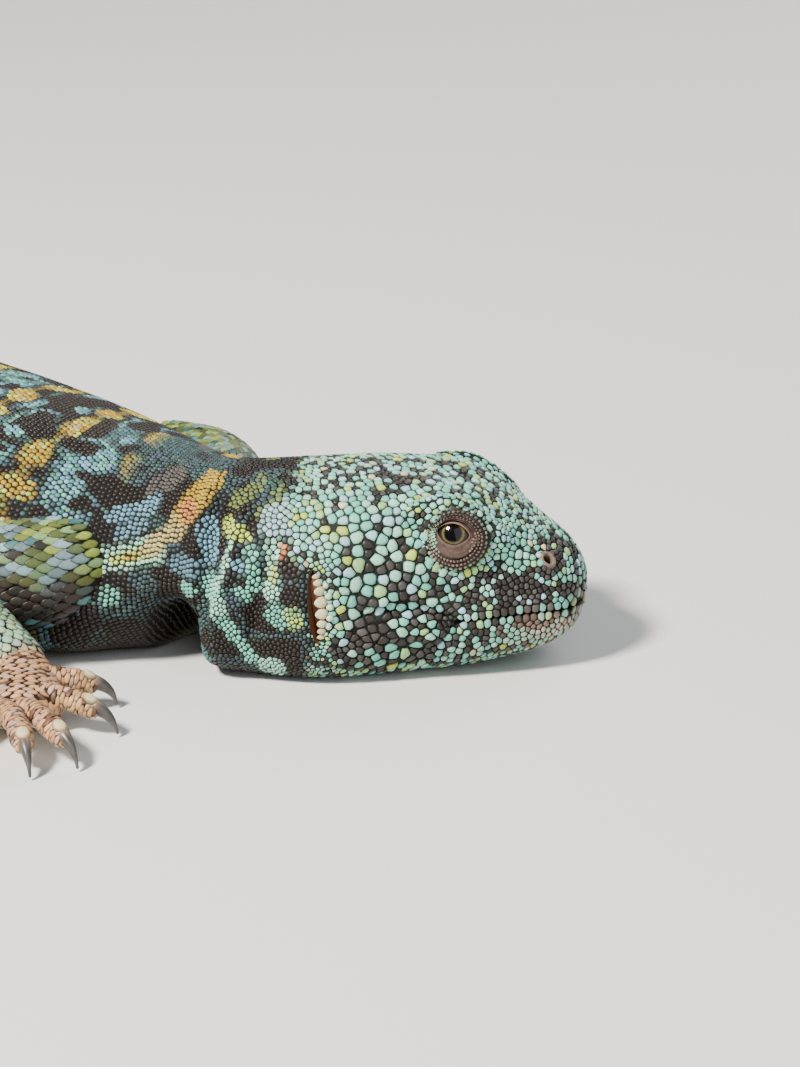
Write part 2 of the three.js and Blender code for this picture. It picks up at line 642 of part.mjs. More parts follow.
// The spines of one whorl, spread evenly from low on one side over the back to low on the other.
function whorlSpines({ s, length }) {
  const row = rowAt(trunk, s + length * spines.place);
  const lowest = radians(spines.lowest);
  const around = row[column.width] * (PI - 2 * lowest) * spines.row;
  const count = max(spines.fewest, round(around / (spines.apart * smallShare(spines.small.apart, length))));
  const made = [];
  for (let k = 0; k < count; k += 1) {
    const angle = lowest + ((PI - 2 * lowest) * k) / (count - 1);
    made.push(spineAt(s + length * (spines.place + spines.vary.place * vary()), angle, length));
  }
  return made;
}

// The first whorl of the next node, a little larger, to trim the spines that hang over it.
function whorlClearance({ s, length }) {
  const step = whorls.step / rowAt(trunk, s)[column.width];
  const grown = { sides: tailSides, grow: clearance, swell: 1 - step };
  return loft([trunkRing(s - gap / 2, grown), trunkRing(s + length * trimShare, grown)]);
}

function addTail() {
  const rings = whorlPlaces();
  const bounds = [0, ...tailCuts, rings.length];
  for (let piece = 0; piece < bounds.length - 1; piece += 1) {
    const members = rings.slice(bounds[piece], bounds[piece + 1]);
    const ringsOfPiece = [];
    members.forEach(({ s, length }, i) => {
      const step = whorls.step / rowAt(trunk, s)[column.width];
      const start = i === 0 ? gap / 2 : whorlStart;
      const end = i === members.length - 1 ? gap / 2 : 0;
      ringsOfPiece.push(trunkRing(s + start, { sides: tailSides, swell: 1 - step }));
      ringsOfPiece.push(trunkRing(s + length - end, { sides: tailSides, swell: 1 + step * whorlFlare }));
    });
    const grown = members.flatMap(whorlSpines).reduce((solid, one) => solid.add(one));
    const next = rings[bounds[piece + 1]];
    const kept = next ? grown.subtract(whorlClearance(next)) : grown;
    addNode(`tail_${piece + 1}`, loft(ringsOfPiece).add(kept), 'tailGreen');
  }
}

function addLimb(prefix, names, limb, side, body) {
  const stance = stances[prefix];
  const stations = (part) => limbStations(limb, part, side, stance);
  const options = { sides: 12, steps: 5 };
  const upper = tube(stations('upper'), options).subtract(body);
  const lower = tube(stations('lower'), options)
    .subtract(tube(stations('upper'), { ...options, grow: gap })).subtract(body);
  let foot = tube(stations('palm'), { sides: 10, steps: 2 });
  const digits = limb.digits.map((digit) => digitStations(limb, digit, side, stance));
  for (const digit of digits) {
    foot = foot.add(tube(digit, { sides: digitSides, steps: 3, ends: [true, false] }));
  }
  foot = foot.subtract(tube(stations('lower'), { ...options, grow: gap })).subtract(body);
  addNode(`${prefix}_${names[0]}`, upper, 'limbGreen');
  addNode(`${prefix}_${names[1]}`, lower, 'limbGreen');
  addNode(`${prefix}_${names[2]}`, foot, 'sand');
  digits.forEach((digit, i) => {
    const horn = tube(clawStations(digit), { sides: clawSides, steps: 3, ends: [false, false] });
    addNode(`${prefix}_claw_${i + 1}`, horn, 'clawHorn');
  });
}

addHead();
addTrunk();
addTail();
const grownBody = clearanceBody();
for (const [word, side] of sidesOfBody) {
  addLimb(`front_${word}`, ['upper_arm', 'forearm', 'hand'], frontLimb, side, grownBody);
  addLimb(`hind_${word}`, ['thigh', 'shin', 'foot'], hindLimb, side, grownBody);
}

// The middle of the model's box goes over the origin.
const middle = new THREE.Box3().setFromObject(model).getCenter(new THREE.Vector3());
for (const mesh of model.children) mesh.position.set(-middle.x, -middle.y, 0);

export default model;
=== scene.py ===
import math

import bpy
import numpy as np
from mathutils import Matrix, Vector
from mathutils.bvhtree import BVHTree
from mathutils.kdtree import KDTree


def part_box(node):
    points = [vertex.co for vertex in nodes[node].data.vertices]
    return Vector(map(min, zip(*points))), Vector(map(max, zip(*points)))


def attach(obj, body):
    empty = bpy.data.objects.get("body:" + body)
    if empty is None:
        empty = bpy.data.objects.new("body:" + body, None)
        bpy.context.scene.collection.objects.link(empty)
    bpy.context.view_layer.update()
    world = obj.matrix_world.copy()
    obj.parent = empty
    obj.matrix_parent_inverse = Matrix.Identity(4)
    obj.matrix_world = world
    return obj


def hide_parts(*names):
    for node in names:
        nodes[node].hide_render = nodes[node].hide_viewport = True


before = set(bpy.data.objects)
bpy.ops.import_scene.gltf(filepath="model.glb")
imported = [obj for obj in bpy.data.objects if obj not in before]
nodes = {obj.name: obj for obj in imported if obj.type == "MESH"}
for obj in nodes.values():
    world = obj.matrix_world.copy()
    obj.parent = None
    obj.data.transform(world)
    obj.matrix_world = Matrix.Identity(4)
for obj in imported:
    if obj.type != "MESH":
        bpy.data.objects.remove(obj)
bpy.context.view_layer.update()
mm = 0.001
draws = np.random.default_rng(41)

# The animal's own measures are in mm: along the middle line from the snout, out to its left, and up.
# Trunk: place from the snout, half width, top, widest line, underside, squareness above and below
trunkRows = [
    [0, 1.6, 13.0, 11, 8.8, 2.0, 2.0], [0.7, 4.6, 15.0, 10.4, 5.8, 2.0, 2.2],
    [2.5, 7.2, 17.9, 9.8, 3.6, 2.1, 2.5], [5.5, 9.2, 20.2, 9.4, 2.2, 2.3, 2.9],
    [9.5, 11.0, 23.0, 9.2, 1.2, 2.6, 3.1], [13, 12.3, 25.2, 9.0, 0.5, 3.0, 3.2],
    [17, 13.6, 26.6, 8.6, 0.0, 3.3, 3.3], [22, 15.0, 27.2, 8.2, -0.5, 3.1, 3.3],
    [28, 17.0, 27.4, 7.6, -0.9, 2.7, 3.4], [34, 18.8, 27.2, 7.2, -1.1, 2.4, 3.5],
    [40, 19.4, 26.8, 7.2, -1.2, 2.2, 3.4], [46, 19.0, 26.4, 7.6, -1.1, 2.1, 3.2],
    [50, 18.0, 26.4, 8.6, -0.8, 2.0, 2.9], [54, 17.4, 26.8, 9.4, -0.5, 2.0, 2.7],
    [58, 18.6, 27.6, 9.4, -0.7, 2.0, 2.8], [63, 21.2, 28.6, 9.0, -0.9, 2.0, 3.0],
    [70, 24.4, 29.6, 8.6, -1.1, 2.0, 3.1], [85, 29.0, 31.0, 8.8, -1.2, 2.1, 3.2],
    [105, 33.4, 32.0, 9.2, -1.3, 2.1, 3.2], [128, 35.6, 32.2, 9.2, -1.3, 2.1, 3.2],
    [148, 33.2, 31.0, 9.2, -1.3, 2.1, 3.1], [165, 26.0, 27.6, 9.2, -1.1, 2.1, 2.9],
    [178, 19.2, 23.2, 8.4, -0.8, 2.1, 2.7], [190, 16.0, 18.8, 7.6, -0.6, 2.2, 2.6],
    [205, 15.4, 16.4, 6.9, -0.6, 2.4, 2.6], [230, 14.6, 14.6, 6.1, -0.5, 2.4, 2.6],
    [260, 12.4, 12.4, 5.4, -0.5, 2.4, 2.6], [290, 9.4, 9.8, 4.4, -0.5, 2.3, 2.5],
    [315, 6.2, 7.2, 3.4, -0.4, 2.2, 2.3], [335, 3.0, 4.4, 2.3, -0.2, 2.0, 2.1],
    [343, 0.9, 2.6, 1.6, 0.4, 2.0, 2.0],
]
# way the body faces at a place, in degrees
turnRows = [[0, 27], [30, 27], [42, 26.5], [50, 23], [58, 16], [66, 10], [90, 3], [130, -2], [175, -7],
            [205, -5], [235, 3], [270, 14], [305, 23], [343, 28]]
middleSteps = {"step": 0.5, "lead": 12.0, "count": 700}
shoulderPlace = 66
tailStart = 187
tailEnd = 343

# soft rises and hollows of the trunk: where (along, out, up), how far they reach, how they move the surface
pushes = [
    ([0, 0, 11], [3, 8, 8], [-0.6, 0, 0]),  # snout tip
    ([16.0, 11.2, 24.6], [6.0, 3.2, 2.6], [0, 1.0, 1.2]),  # brow
    ([10.0, 9.2, 22.0], [3.6, 2.4, 2.4], [0, 0.6, 0.6]),  # front of the brow
    ([17, 0, 27], [7, 4.4, 4], [0, 0, -0.6]),  # hollow of the crown
    ([10.6, 12.0, 18.0], [2.8, 3, 3.2], [0, -1.2, 0]),  # before the eye
    ([17.0, 14.0, 13.8], [5.5, 3, 1.8], [0, -0.8, 0]),  # under the eye
    ([24.0, 14.0, 20.6], [2.4, 3, 3.4], [0, -0.6, 0]),  # behind the eye
    ([7.2, 10, 13.8], [2.6, 3, 2.4], [0, -0.6, 0]),  # side of the snout
    ([4.2, 7.4, 16.4], [2.0, 2.4, 1.9], [-0.2, 0.9, 0.3]),  # nostril mound
    ([29, 17.0, 8.4], [6.5, 4, 5.0], [0, 0.5, 0]),  # cheek
    ([29, 13.0, 24.0], [6, 3, 3], [0, 0.5, 0.4]),  # temple
    ([48.0, 17.5, 4.0], [2.6, 5, 6.0], [0.6, 0.9, 0]),  # throat pouch
    ([53.4, 15.0, 2.0], [2.9, 9, 7.5], [0.8, -5.2, 1.2]),  # hollow of the neck
    ([74, 21.0, 20.0], [8, 6, 6], [0, 1.2, 0.4]),  # shoulder
    ([168, 20.0, 20.0], [9, 6, 6], [0, 0.9, 0.6]),  # hip
]
# the same for the neck, once the rises and hollows above are in place
neckPushes = [
    ([49.0, 15.0, 2.6], [2.2, 7, 5.0], [0.9, 0.6, 0]),  # rear edge of the pouch, drawn back
    ([54.6, 14.0, 2.0], [2.4, 9, 6.5], [0, -4.2, 3.4]),  # deep hollow behind it
    ([57.5, 17.5, 12.5], [4.5, 5, 2.4], [0, 0.8, 0]),  # loose fold of the neck over the hollow
    ([62.0, 19.5, 9.6], [4.0, 5, 2.2], [0, 0.7, 0]),
    ([60.0, 17.0, 3.0], [5.0, 8, 4.6], [0, -1.8, 0.6]),  # under that fold
]
mouth = {
    "line": [[-2, 8.9], [4, 9.5], [10, 9.4], [16, 8.8], [20, 7.6], [25, 5.4], [32, 3.9], [44, 3.4]],
    "corner": 16.6, "fade": (0.9, -1.1),  # the press ends and starts so far from the corner
    "press": [(0, 1.15), (1, 0.62), (-1, 0.62), (2, -0.02), (-2, 0.06), (3, -0.14), (-3, -0.12)],
    "lowest": 0.06, "behind": (24, 46), "front": (0.2, 1.5), "rowGaps": [(1, 0.2), (2, 0.5)],
}
eyeSpot = {"along": 17.0, "out": 8.8, "up": 20.1, "radius": 4.5}


def smooth(a, b, value):
    t = np.clip((np.asarray(value, float) - a) / (b - a), 0, 1)
    return t * t * (3 - 2 * t)


def bump(value, middle, reach):
    return np.exp(-((value - middle) / reach) ** 2)


def toward(value, goal, share):
    return value * (1 - share) + goal * share


def rowAt(table, place):
    # every column of a table on a smooth curve through its rows
    rows = np.asarray(table, float)
    last = len(rows) - 1
    i = int(np.clip(np.searchsorted(rows[:, 0], place) - 1, 0, last - 1))
    a, b = rows[i], rows[i + 1]
    before, after = rows[max(i - 1, 0)], rows[min(i + 2, last)]
    span = b[0] - a[0]
    t = min(1.0, max(0.0, (place - a[0]) / span))
    slopeA = (b - before) / (b[0] - before[0])
    slopeB = (after - a) / (after[0] - a[0])
    return ((1 + 2 * t) * (1 - t) ** 2 * a + t * (1 - t) ** 2 * span * slopeA
            + t * t * (3 - 2 * t) * b + t * t * (t - 1) * span * slopeB)


def middleLine():
    # the bent middle line: places along it, where they lie and which way the body faces there
    step, lead = middleSteps["step"], middleSteps["lead"]
    headings = np.radians([rowAt(turnRows, k * step + step / 2)[1] for k in range(middleSteps["count"])])
    x = np.concatenate([[0], np.cumsum(-step * np.cos(headings))])
    y = np.concatenate([[0], np.cumsum(-step * np.sin(headings))])
    s = np.arange(len(x)) * step
    facing = np.radians([rowAt(turnRows, place)[1] for place in s])
    k = int(shoulderPlace / step)
    x, y = x - x[k], y - y[k]
    first = [x[0] + lead * math.cos(facing[0]), y[0] + lead * math.sin(facing[0])]
    return (np.r_[-lead, s], np.r_[first[0], x], np.r_[first[1], y], np.r_[facing[0], facing])


lineS, lineX, lineY, lineFacing = middleLine()


def rawPoint(s, out, up):
    s, out, up = np.broadcast_arrays(np.asarray(s, float), out, up)
    facing = np.interp(s, lineS, lineFacing)
    x = np.interp(s, lineS, lineX) - out * np.sin(facing)
    y = np.interp(s, lineS, lineY) + out * np.cos(facing)
    return np.stack([x, y, up], -1)


def nodeMiddle(name):
    low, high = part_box(name)
    return np.array((low + high) / 2) / mm


# the part stands on the middle of its box, so the eyes of the solids give its place on the middle line
eyeMiddles = (nodeMiddle("eye_right") + nodeMiddle("eye_left")) / 2
shift = np.append((eyeMiddles - rawPoint(eyeSpot["along"], 0, 0))[:2], 0.0)


def onTrunk(s, out, up):
    return rawPoint(s, out, up) + shift


def trunkPlace(points, tries=6):
    # the way back: place along, out and up of points near the trunk
    s = np.interp(points[:, 0], (lineX + shift[0])[::-1], lineS[::-1])
    for _ in range(tries):
        facing = np.interp(s, lineS, lineFacing)
        dx = points[:, 0] - shift[0] - np.interp(s, lineS, lineX)
        dy = points[:, 1] - shift[1] - np.interp(s, lineS, lineY)
        s = s - (dx * np.cos(facing) + dy * np.sin(facing))
    out = -dx * np.sin(facing) + dy * np.cos(facing)
    return s, out, points[:, 2]


def eyeFrame(side):
    # middle of an eye, and the ways forward, up and out there
    facing = float(np.interp(eyeSpot["along"], lineS, lineFacing))
    forward = np.array([math.cos(facing), math.sin(facing), 0])
    outward = side * np.array([-math.sin(facing), math.cos(facing), 0])
    middle = onTrunk(eyeSpot["along"], side * eyeSpot["out"], eyeSpot["up"])
    return middle, forward, np.array([0, 0, 1.0]), outward


def grain(points, size, seed=0):
    # soft noise from -1 to 1 that changes over the given size; the long whole numbers only scramble the cells
    q = np.asarray(points, float) / size + 31.7 + seed * 11.3
    base = np.floor(q).astype(np.int64)
    part = q - base
    part = part * part * (3 - 2 * part)
    total = np.zeros(len(q))
    for corner in range(8):
        bits = np.array([corner & 1, corner >> 1 & 1, corner >> 2 & 1])
        cell = base + bits
        h = (cell[:, 0] * 73856093) ^ (cell[:, 1] * 19349663) ^ (cell[:, 2] * 83492791) ^ (seed * 2654435)
        h = (h ^ (h >> 13)) * 1274126177 & 0x7FFFFFFF
        h = (h ^ (h >> 11)) & 0xFFFF
        weight = np.prod(np.where(bits, part, 1 - part), axis=1)
        total += weight * h / 0xFFFF
    return 2 * total - 1


def pointTree(points):
    tree = KDTree(len(points))
    for i, p in enumerate(points):
        tree.insert(p, i)
    tree.balance()
    return tree


# Grids of skin
def ballGrid(name, rings, sides):
    # a ball's vertices sorted into rings, ready to be drawn out into a body or limb
    bpy.ops.object.select_all(action="DESELECT")
    bpy.ops.mesh.primitive_uv_sphere_add(segments=sides, ring_count=rings + 1, radius=1)
    ball = bpy.context.active_object
    ball.name = name
    co = np.zeros(len(ball.data.vertices) * 3)
    ball.data.vertices.foreach_get("co", co)
    co = co.reshape(-1, 3)
    order = np.argsort(-co[:, 2])
    first, last = order[0], order[-1]
    body = order[1:-1].reshape(rings, sides)
    turn = (np.arctan2(co[body, 1], co[body, 0]) / (2 * np.pi) * sides + 0.25) % sides
    body = np.take_along_axis(body, np.argsort(turn, axis=1), axis=1)
    return ball, body, first, last


def facesOut(piece):
    bpy.context.view_layer.objects.active = piece
    piece.select_set(True)
    bpy.ops.object.mode_set(mode="EDIT")
    bpy.ops.mesh.select_all(action="SELECT")
    bpy.ops.mesh.normals_make_consistent(inside=False)
    bpy.ops.object.mode_set(mode="OBJECT")
    bpy.ops.object.shade_smooth()


def drawOut(name, points, ends):
    # a ball drawn out over a grid of points and closed at its two ends
    ball, body, first, last = ballGrid(name, *points.shape[:2])
    co = np.zeros((len(ball.data.vertices), 3))
    co[body] = points
    co[first], co[last] = ends
    ball.data.vertices.foreach_set("co", (co * mm).ravel())
    ball.data.update()
    facesOut(ball)
    return ball, body


def gridNormals(points):
    along = np.gradient(points, axis=0)
    around = np.roll(points, -1, axis=1) - np.roll(points, 1, axis=1)
    normal = np.cross(along, around)
    normal /= np.linalg.norm(normal, axis=2, keepdims=True) + 1e-12
    middle = points.mean(axis=1, keepdims=True)
    inward = np.sum(normal * (points - middle), axis=2).mean() < 0
    return -normal if inward else normal


trunkGrid = {
    "sides": 176, "mouthRow": 34, "inset": 0.42, "tailInset": 0.55, "thinTail": (338, 300), "floor": 0.12,
    "snout": [0.0, 0.25, 0.6, 1.0, 1.4], "ends": 0.2,
    # head, ear, nape, neck and body: from, to and step
    "spans": [(1.8, 33.6, 0.42), (33.7, 37.2, 0.22), (37.5, 46, 0.42), (46, 76, 0.5),
              (76, tailStart - 0.6, 1.3)],
    "tailShares": [0.12, 0.3, 0.55, 0.85, 0.99],  # rings of points in each ring of the tail
    "rise": 0.8, "finePoints": 70,
}
whorlSize = {"count": 22, "longest": 8.9, "shortest": 5.05, "step": 0.55, "flare": 1.4}


def whorlPlaces():
    shares = np.arange(whorlSize["count"]) / (whorlSize["count"] - 1)
    lengths = whorlSize["longest"] + (whorlSize["shortest"] - whorlSize["longest"]) * shares
    starts = tailStart + np.concatenate([[0], np.cumsum(lengths)[:-1]])
    return starts, lengths


whorlStarts, whorlLengths = whorlPlaces()


def trunkPlaces():
    spans = [np.arange(*span) for span in trunkGrid["spans"]]
    tail = [np.array(trunkGrid["tailShares"]) * length + start
            for start, length in zip(whorlStarts, whorlLengths)]
    made = np.concatenate([trunkGrid["snout"]] + spans + tail)
    return made[made < tailEnd - trunkGrid["ends"]]


def halfOutline(s):
    # the left half of a section as a fine line from the keel to the crown
    _, wide, top, widest, bottom, crown, keel = rowAt(trunkRows, s)
    fine = trunkGrid["finePoints"]
    rise = np.linspace(0, trunkGrid["rise"], fine)

    def quarter(squareness):
        out = (1 - rise ** squareness) ** (1 / squareness)
        rest = np.linspace(out[-1], 0, fine)[1:]
        return np.r_[out, rest], np.r_[rise, (1 - rest ** squareness) ** (1 / squareness)]
    outLow, lowShare = quarter(keel)
    outHigh, highShare = quarter(crown)
    out = wide * np.r_[outLow[::-1], outHigh[1:]]
    up = np.r_[widest - (widest - bottom) * lowShare[::-1], widest + (top - widest) * highShare[1:]]
    return out, up


def sectionRow(s):
    # evenly spread points of one section, with one row of them on the line of the mouth
    half = trunkGrid["sides"] // 2
    anchor = trunkGrid["mouthRow"]
    out, up = halfOutline(s)
    length = np.r_[0, np.cumsum(np.hypot(np.diff(out), np.diff(up)))]
    whole = length[-1]
    onMouth = max(np.interp(rowAt(mouth["line"], s)[1], up, length), mouth["lowest"] * whole)
    behind = smooth(*mouth["behind"], s)
    at = toward(onMouth, whole * anchor / half, behind)
    lengths = np.r_[np.linspace(0, at, anchor + 1), np.linspace(at, whole, half - anchor + 1)[1:]]
    near = (1 - behind) * smooth(*mouth["front"], s)
    for side in (-1, 1):
        for row, gap in mouth["rowGaps"]:
            lengths[anchor + row * side] += near * (at + side * gap - lengths[anchor + row * side])
    o, u = np.interp(lengths, length, out), np.interp(lengths, length, up)
    return np.r_[o, -o[-2:0:-1]], np.r_[u, u[-2:0:-1]]


def applyPushes(s, out, up, table, farthest=9):
    moved = [s.copy(), out.copy(), up.copy()]
    away = np.abs(out)
    for at, reach, move in table:
        far = sum(((value - a) / r) ** 2 for value, a, r in zip((s, away, up), at, reach))
        share = np.where(far > farthest, 0, np.exp(-far))
        moved[0] += move[0] * share
        moved[1] += move[1] * share * np.where(out < 0, -1, 1) * (1 if at[1] else 0)
        moved[2] += move[2] * share
    return moved


# lines pressed into the skin of the head, in mm along and up: points, width, depth (rise where negative)
creases = [
    # fold back from the mouth, corner of the mouth, jaw muscle under the fold, ridge of the cheek
    ([[15.8, 8.8], [17.2, 9.9], [19.2, 10.8], [22.0, 11.3], [25.5, 11.5], [29, 11.2]], 0.8, 0.95),
    ([[15.6, 8.8], [16.8, 8.2], [17.8, 7.0], [18.4, 5.6]], 0.65, 0.45),
    ([[18.6, 7.4], [21.5, 8.5], [25.5, 8.3]], 1.7, -0.65),
    ([[19.0, 13.0], [23, 13.7], [28, 13.5]], 1.3, -0.30),
    # between eye and nostril, behind the lids, under the lids, over the ear
    ([[9.6, 19.0], [8.4, 16.6], [7.4, 14.9]], 0.8, 0.35),
    ([[23.2, 22.2], [24.6, 20.0], [24.2, 17.0], [22.2, 14.6]], 0.7, 0.4),
    ([[11.2, 15.6], [14, 13.4], [18, 12.8], [21, 13.6]], 0.7, 0.35),
    ([[32.4, 22.5], [36, 21.0], [40.5, 20.5]], 0.9, 0.35),
    # front and rear wall of the ear
    ([[33.6, 6.0], [33.0, 12], [32.8, 17]], 1.3, -0.45),
    ([[38.0, 5.0], [37.6, 11], [37.6, 17]], 1.2, -0.3),
    # folds of the neck behind the ear
    ([[41.5, 20.0], [43.5, 14.0], [44.0, 8.0]], 1.0, 1.1),
    ([[46.6, 23.0], [47.4, 16.0], [48.8, 9.0]], 0.8, -0.8),
    ([[50.0, 23.5], [50.2, 15.0], [51.0, 8.0]], 1.1, 1.3),
]
creaseSides = (2.0, 6.0)  # creases fade in from the middle of the body to its sides

# the ridge of the brow and the furrow between it and the lids: along, out and up
brow = {
    "ridge": [[23.4, 12.0, 24.6], [21.3, 10.6, 25.8], [18.5, 9.6, 26.1], [15.1, 9.5, 25.4],
              [12.3, 9.5, 23.1], [10.6, 9.0, 20.6], [9.3, 8.2, 18.4]],
    "furrow": [[22.4, 12.6, 22.4], [21.4, 12.2, 24.0], [19.4, 11.7, 25.0], [16.9, 11.2, 25.3],
               [14.2, 10.6, 24.4], [12.5, 10.0, 22.4], [11.7, 9.5, 20.0]],
    "relief": [("ridge", 0.85, -0.85), ("furrow", 0.55, 0.50)],  # line, width and depth
    # more dark scales in the furrow are painted shade; fewer on the ridge, whose scales are pale
    "furrowShadeRidgePale": [("ridge", 1.0, -0.9), ("furrow", 0.6, 0.9)],
    "scaleReach": [("ridge", 1.3), ("furrow", 0.9)], "scale": 0.80,
}


def pathShare(s, away, up, line, width):
    # 1 on a line in space, falling to 0 across its width
    at = np.stack([s, away, up], -1)
    line = np.asarray(line, float)
    best = np.full(at.shape[:-1], np.inf)
    for a, b in zip(line[:-1], line[1:]):
        t = np.clip((at - a) @ (b - a) / ((b - a) @ (b - a)), 0, 1)
        best = np.minimum(best, np.linalg.norm(at - a - t[..., None] * (b - a), axis=-1))
    return bump(best, 0, width)


def strokeShare(s, up, line, width):
    # 1 on a drawn line, falling to 0 across its width and at its two ends
    line = np.asarray(line, float)
    best = np.full(s.shape, np.inf)
    for (a0, a1), (b0, b1) in zip(line[:-1], line[1:]):
        dx, dy = b0 - a0, b1 - a1
        t = np.clip(((s - a0) * dx + (up - a1) * dy) / (dx * dx + dy * dy), 0, 1)
        best = np.minimum(best, np.hypot(s - a0 - t * dx, up - a1 - t * dy))
    return bump(best, 0, width)


def flareRings(places, out, up):
    # each ring of the tail flares towards its end
    for i, k in enumerate(np.searchsorted(whorlStarts, places, side="right") - 1):
        if k < 0:
            continue
        share = min(1, (places[i] - whorlStarts[k]) / whorlLengths[k])
        _, wide, _, widest = rowAt(trunkRows, places[i])[:4]
        swell = 1 + whorlSize["step"] / wide * (-1 + whorlSize["flare"] * share)
        out[i] *= swell
        up[i] = widest + (up[i] - widest) * swell


def skinDepth(s, moved):
    # how far the bare skin lies inside the coat's outline: creases, brow and mouth
    depth = np.full(s.shape, trunkGrid["inset"])
    depth *= toward(trunkGrid["tailInset"], 1, smooth(*trunkGrid["thinTail"], s))
    along, away, up = moved[0], np.abs(moved[1]), moved[2]
    side = smooth(*creaseSides, away)
    for line, width, deep in creases:
        depth += deep * strokeShare(along, up, line, width) * side
    for line, width, deep in brow["relief"]:
        depth += deep * pathShare(along, away, up, brow[line], width)
    anchor, around = trunkGrid["mouthRow"], trunkGrid["sides"]
    fade = smooth(*(mouth["corner"] + place for place in mouth["fade"]), s[:, 0])
    for row, deep in mouth["press"]:
        for k in (anchor + row, around - anchor - row):
            depth[:, k] += deep * fade
    return depth


def shapeTrunk():
    places = trunkPlaces()
    rows = [sectionRow(s) for s in places]
    out = np.array([row[0] for row in rows])
    up = np.array([row[1] for row in rows])
    flareRings(places, out, up)
    s = np.repeat(places[:, None], out.shape[1], axis=1)
    moved = applyPushes(*applyPushes(s, out, up, pushes), neckPushes)
    points = onTrunk(moved[0], moved[1], np.maximum(moved[2], 0.02))  # no section dips into the floor
    points = points - gridNormals(points) * skinDepth(s, moved)[..., None]
    points[..., 2] = np.maximum(points[..., 2], trunkGrid["floor"])
    return places, points, moved


places, trunkPoints, (trunkS, trunkOut, trunkUp) = shapeTrunk()
print("trunk", trunkPoints.shape)


def gridQuads(rings, sides):
    ring, side = np.meshgrid(np.arange(rings - 1), np.arange(sides), indexing="ij")
    following = (side + 1) % sides
    return np.stack([ring * sides + side, ring * sides + following,
                     (ring + 1) * sides + following, (ring + 1) * sides + side], -1).reshape(-1, 4)


def treeOf(points):
    rings, sides = points.shape[:2]
    return BVHTree.FromPolygons(points.reshape(-1, 3).tolist(), gridQuads(rings, sides).tolist())


plainTree = treeOf(trunkPoints)


def sideRay(s, up, side, start=40.0, miss=10):
    # the point of the trunk's surface seen level from the side
    facing = float(np.interp(s, lineS, lineFacing))
    aim = Vector((side * math.sin(facing), -side * math.cos(facing), 0))
    spot, normal, _, _ = plainTree.ray_cast(Vector(onTrunk(s, side * start, up)), aim)
    if spot is None:
        return onTrunk(s, side * miss, up), np.array([-aim.x, -aim.y, 0])
    if normal.dot(aim) > 0:
        normal = -normal
    return np.array(spot), np.array(normal)


def dropOn(start, normal, height=4, reach=9.0):
    # the point of the trunk's surface under a point held over it
    spot = plainTree.ray_cast(Vector(start + normal * height), Vector(-normal), reach)[0]
    return np.array(spot) if spot is not None else start


# Eyes with their lids; w runs over the lids from 0 at the opening to 1 at their border
lids = {
    "opening": [0.05, 1.92], "openingSize": [2.0, 1.36], "tilt": -6, "corners": 0.10, "flat": 0.12,
    "border": [0.45, 0.25], "borderSize": [4.75, 4.75], "sides": 84,
    "shares": np.r_[-0.03, 0.0, 0.015, 0.035, np.linspace(0.06, 1, 40)],  # the first ring turns in
    "inside": 0.12, "radius": 4.66, "swell": [0.62, 0, 0.42], "sink": [0.25, 0.6, 1],
    "rim": [0.34, 0.045, 0.05], "rimUnder": 0.45,  # height, middle and reach across w
    "crescent": [0.12, 0.22, 0.13], "lowFold": [0.22, 0.43, 0.035], "highFold": [0.28, 0.19, 0.04],
    "folds": 0.085, "foldsFrom": (0.10, 0.2), "clear": 1.4,
    "blend": (0.62, 1.0), "edge": [0.05, 0.55, 0.9],
}


def lidFolds(w, turn, high):
    # close folds round the lids as a wave, more of them over the eye
    return np.sin(2 * np.pi * (w * (7.0 + 1.5 * high) + 0.25 * np.sin(3 * turn + 1.0)))


def lidRadius(w, turn, low, high):
    height, middle, reach = lids["rim"]
    rim = height * bump(w, middle, reach)
    rise, start, end = lids["swell"]
    drop, dropFrom, dropTo = lids["sink"]
    rho = lids["radius"] + rise * smooth(start, end, w) - drop * smooth(dropFrom, dropTo, w)
    rho = rho + rim * toward(lids["rimUnder"], 1, high)
    # smooth crescent of the lower lid, then close folds round the lids
    height, middle, reach = lids["crescent"]
    crescent = low * bump(w, middle, reach)
    folds = np.clip(smooth(*lids["foldsFrom"], w) - crescent * lids["clear"], 0, 1)
    rho = rho + height * crescent + folds * lids["folds"] * lidFolds(w, turn, high)
    for share, (deep, middle, reach) in ((low, lids["lowFold"]), (high, lids["highFold"])):
        rho = rho - deep * share * bump(w, middle, reach)
    return rho


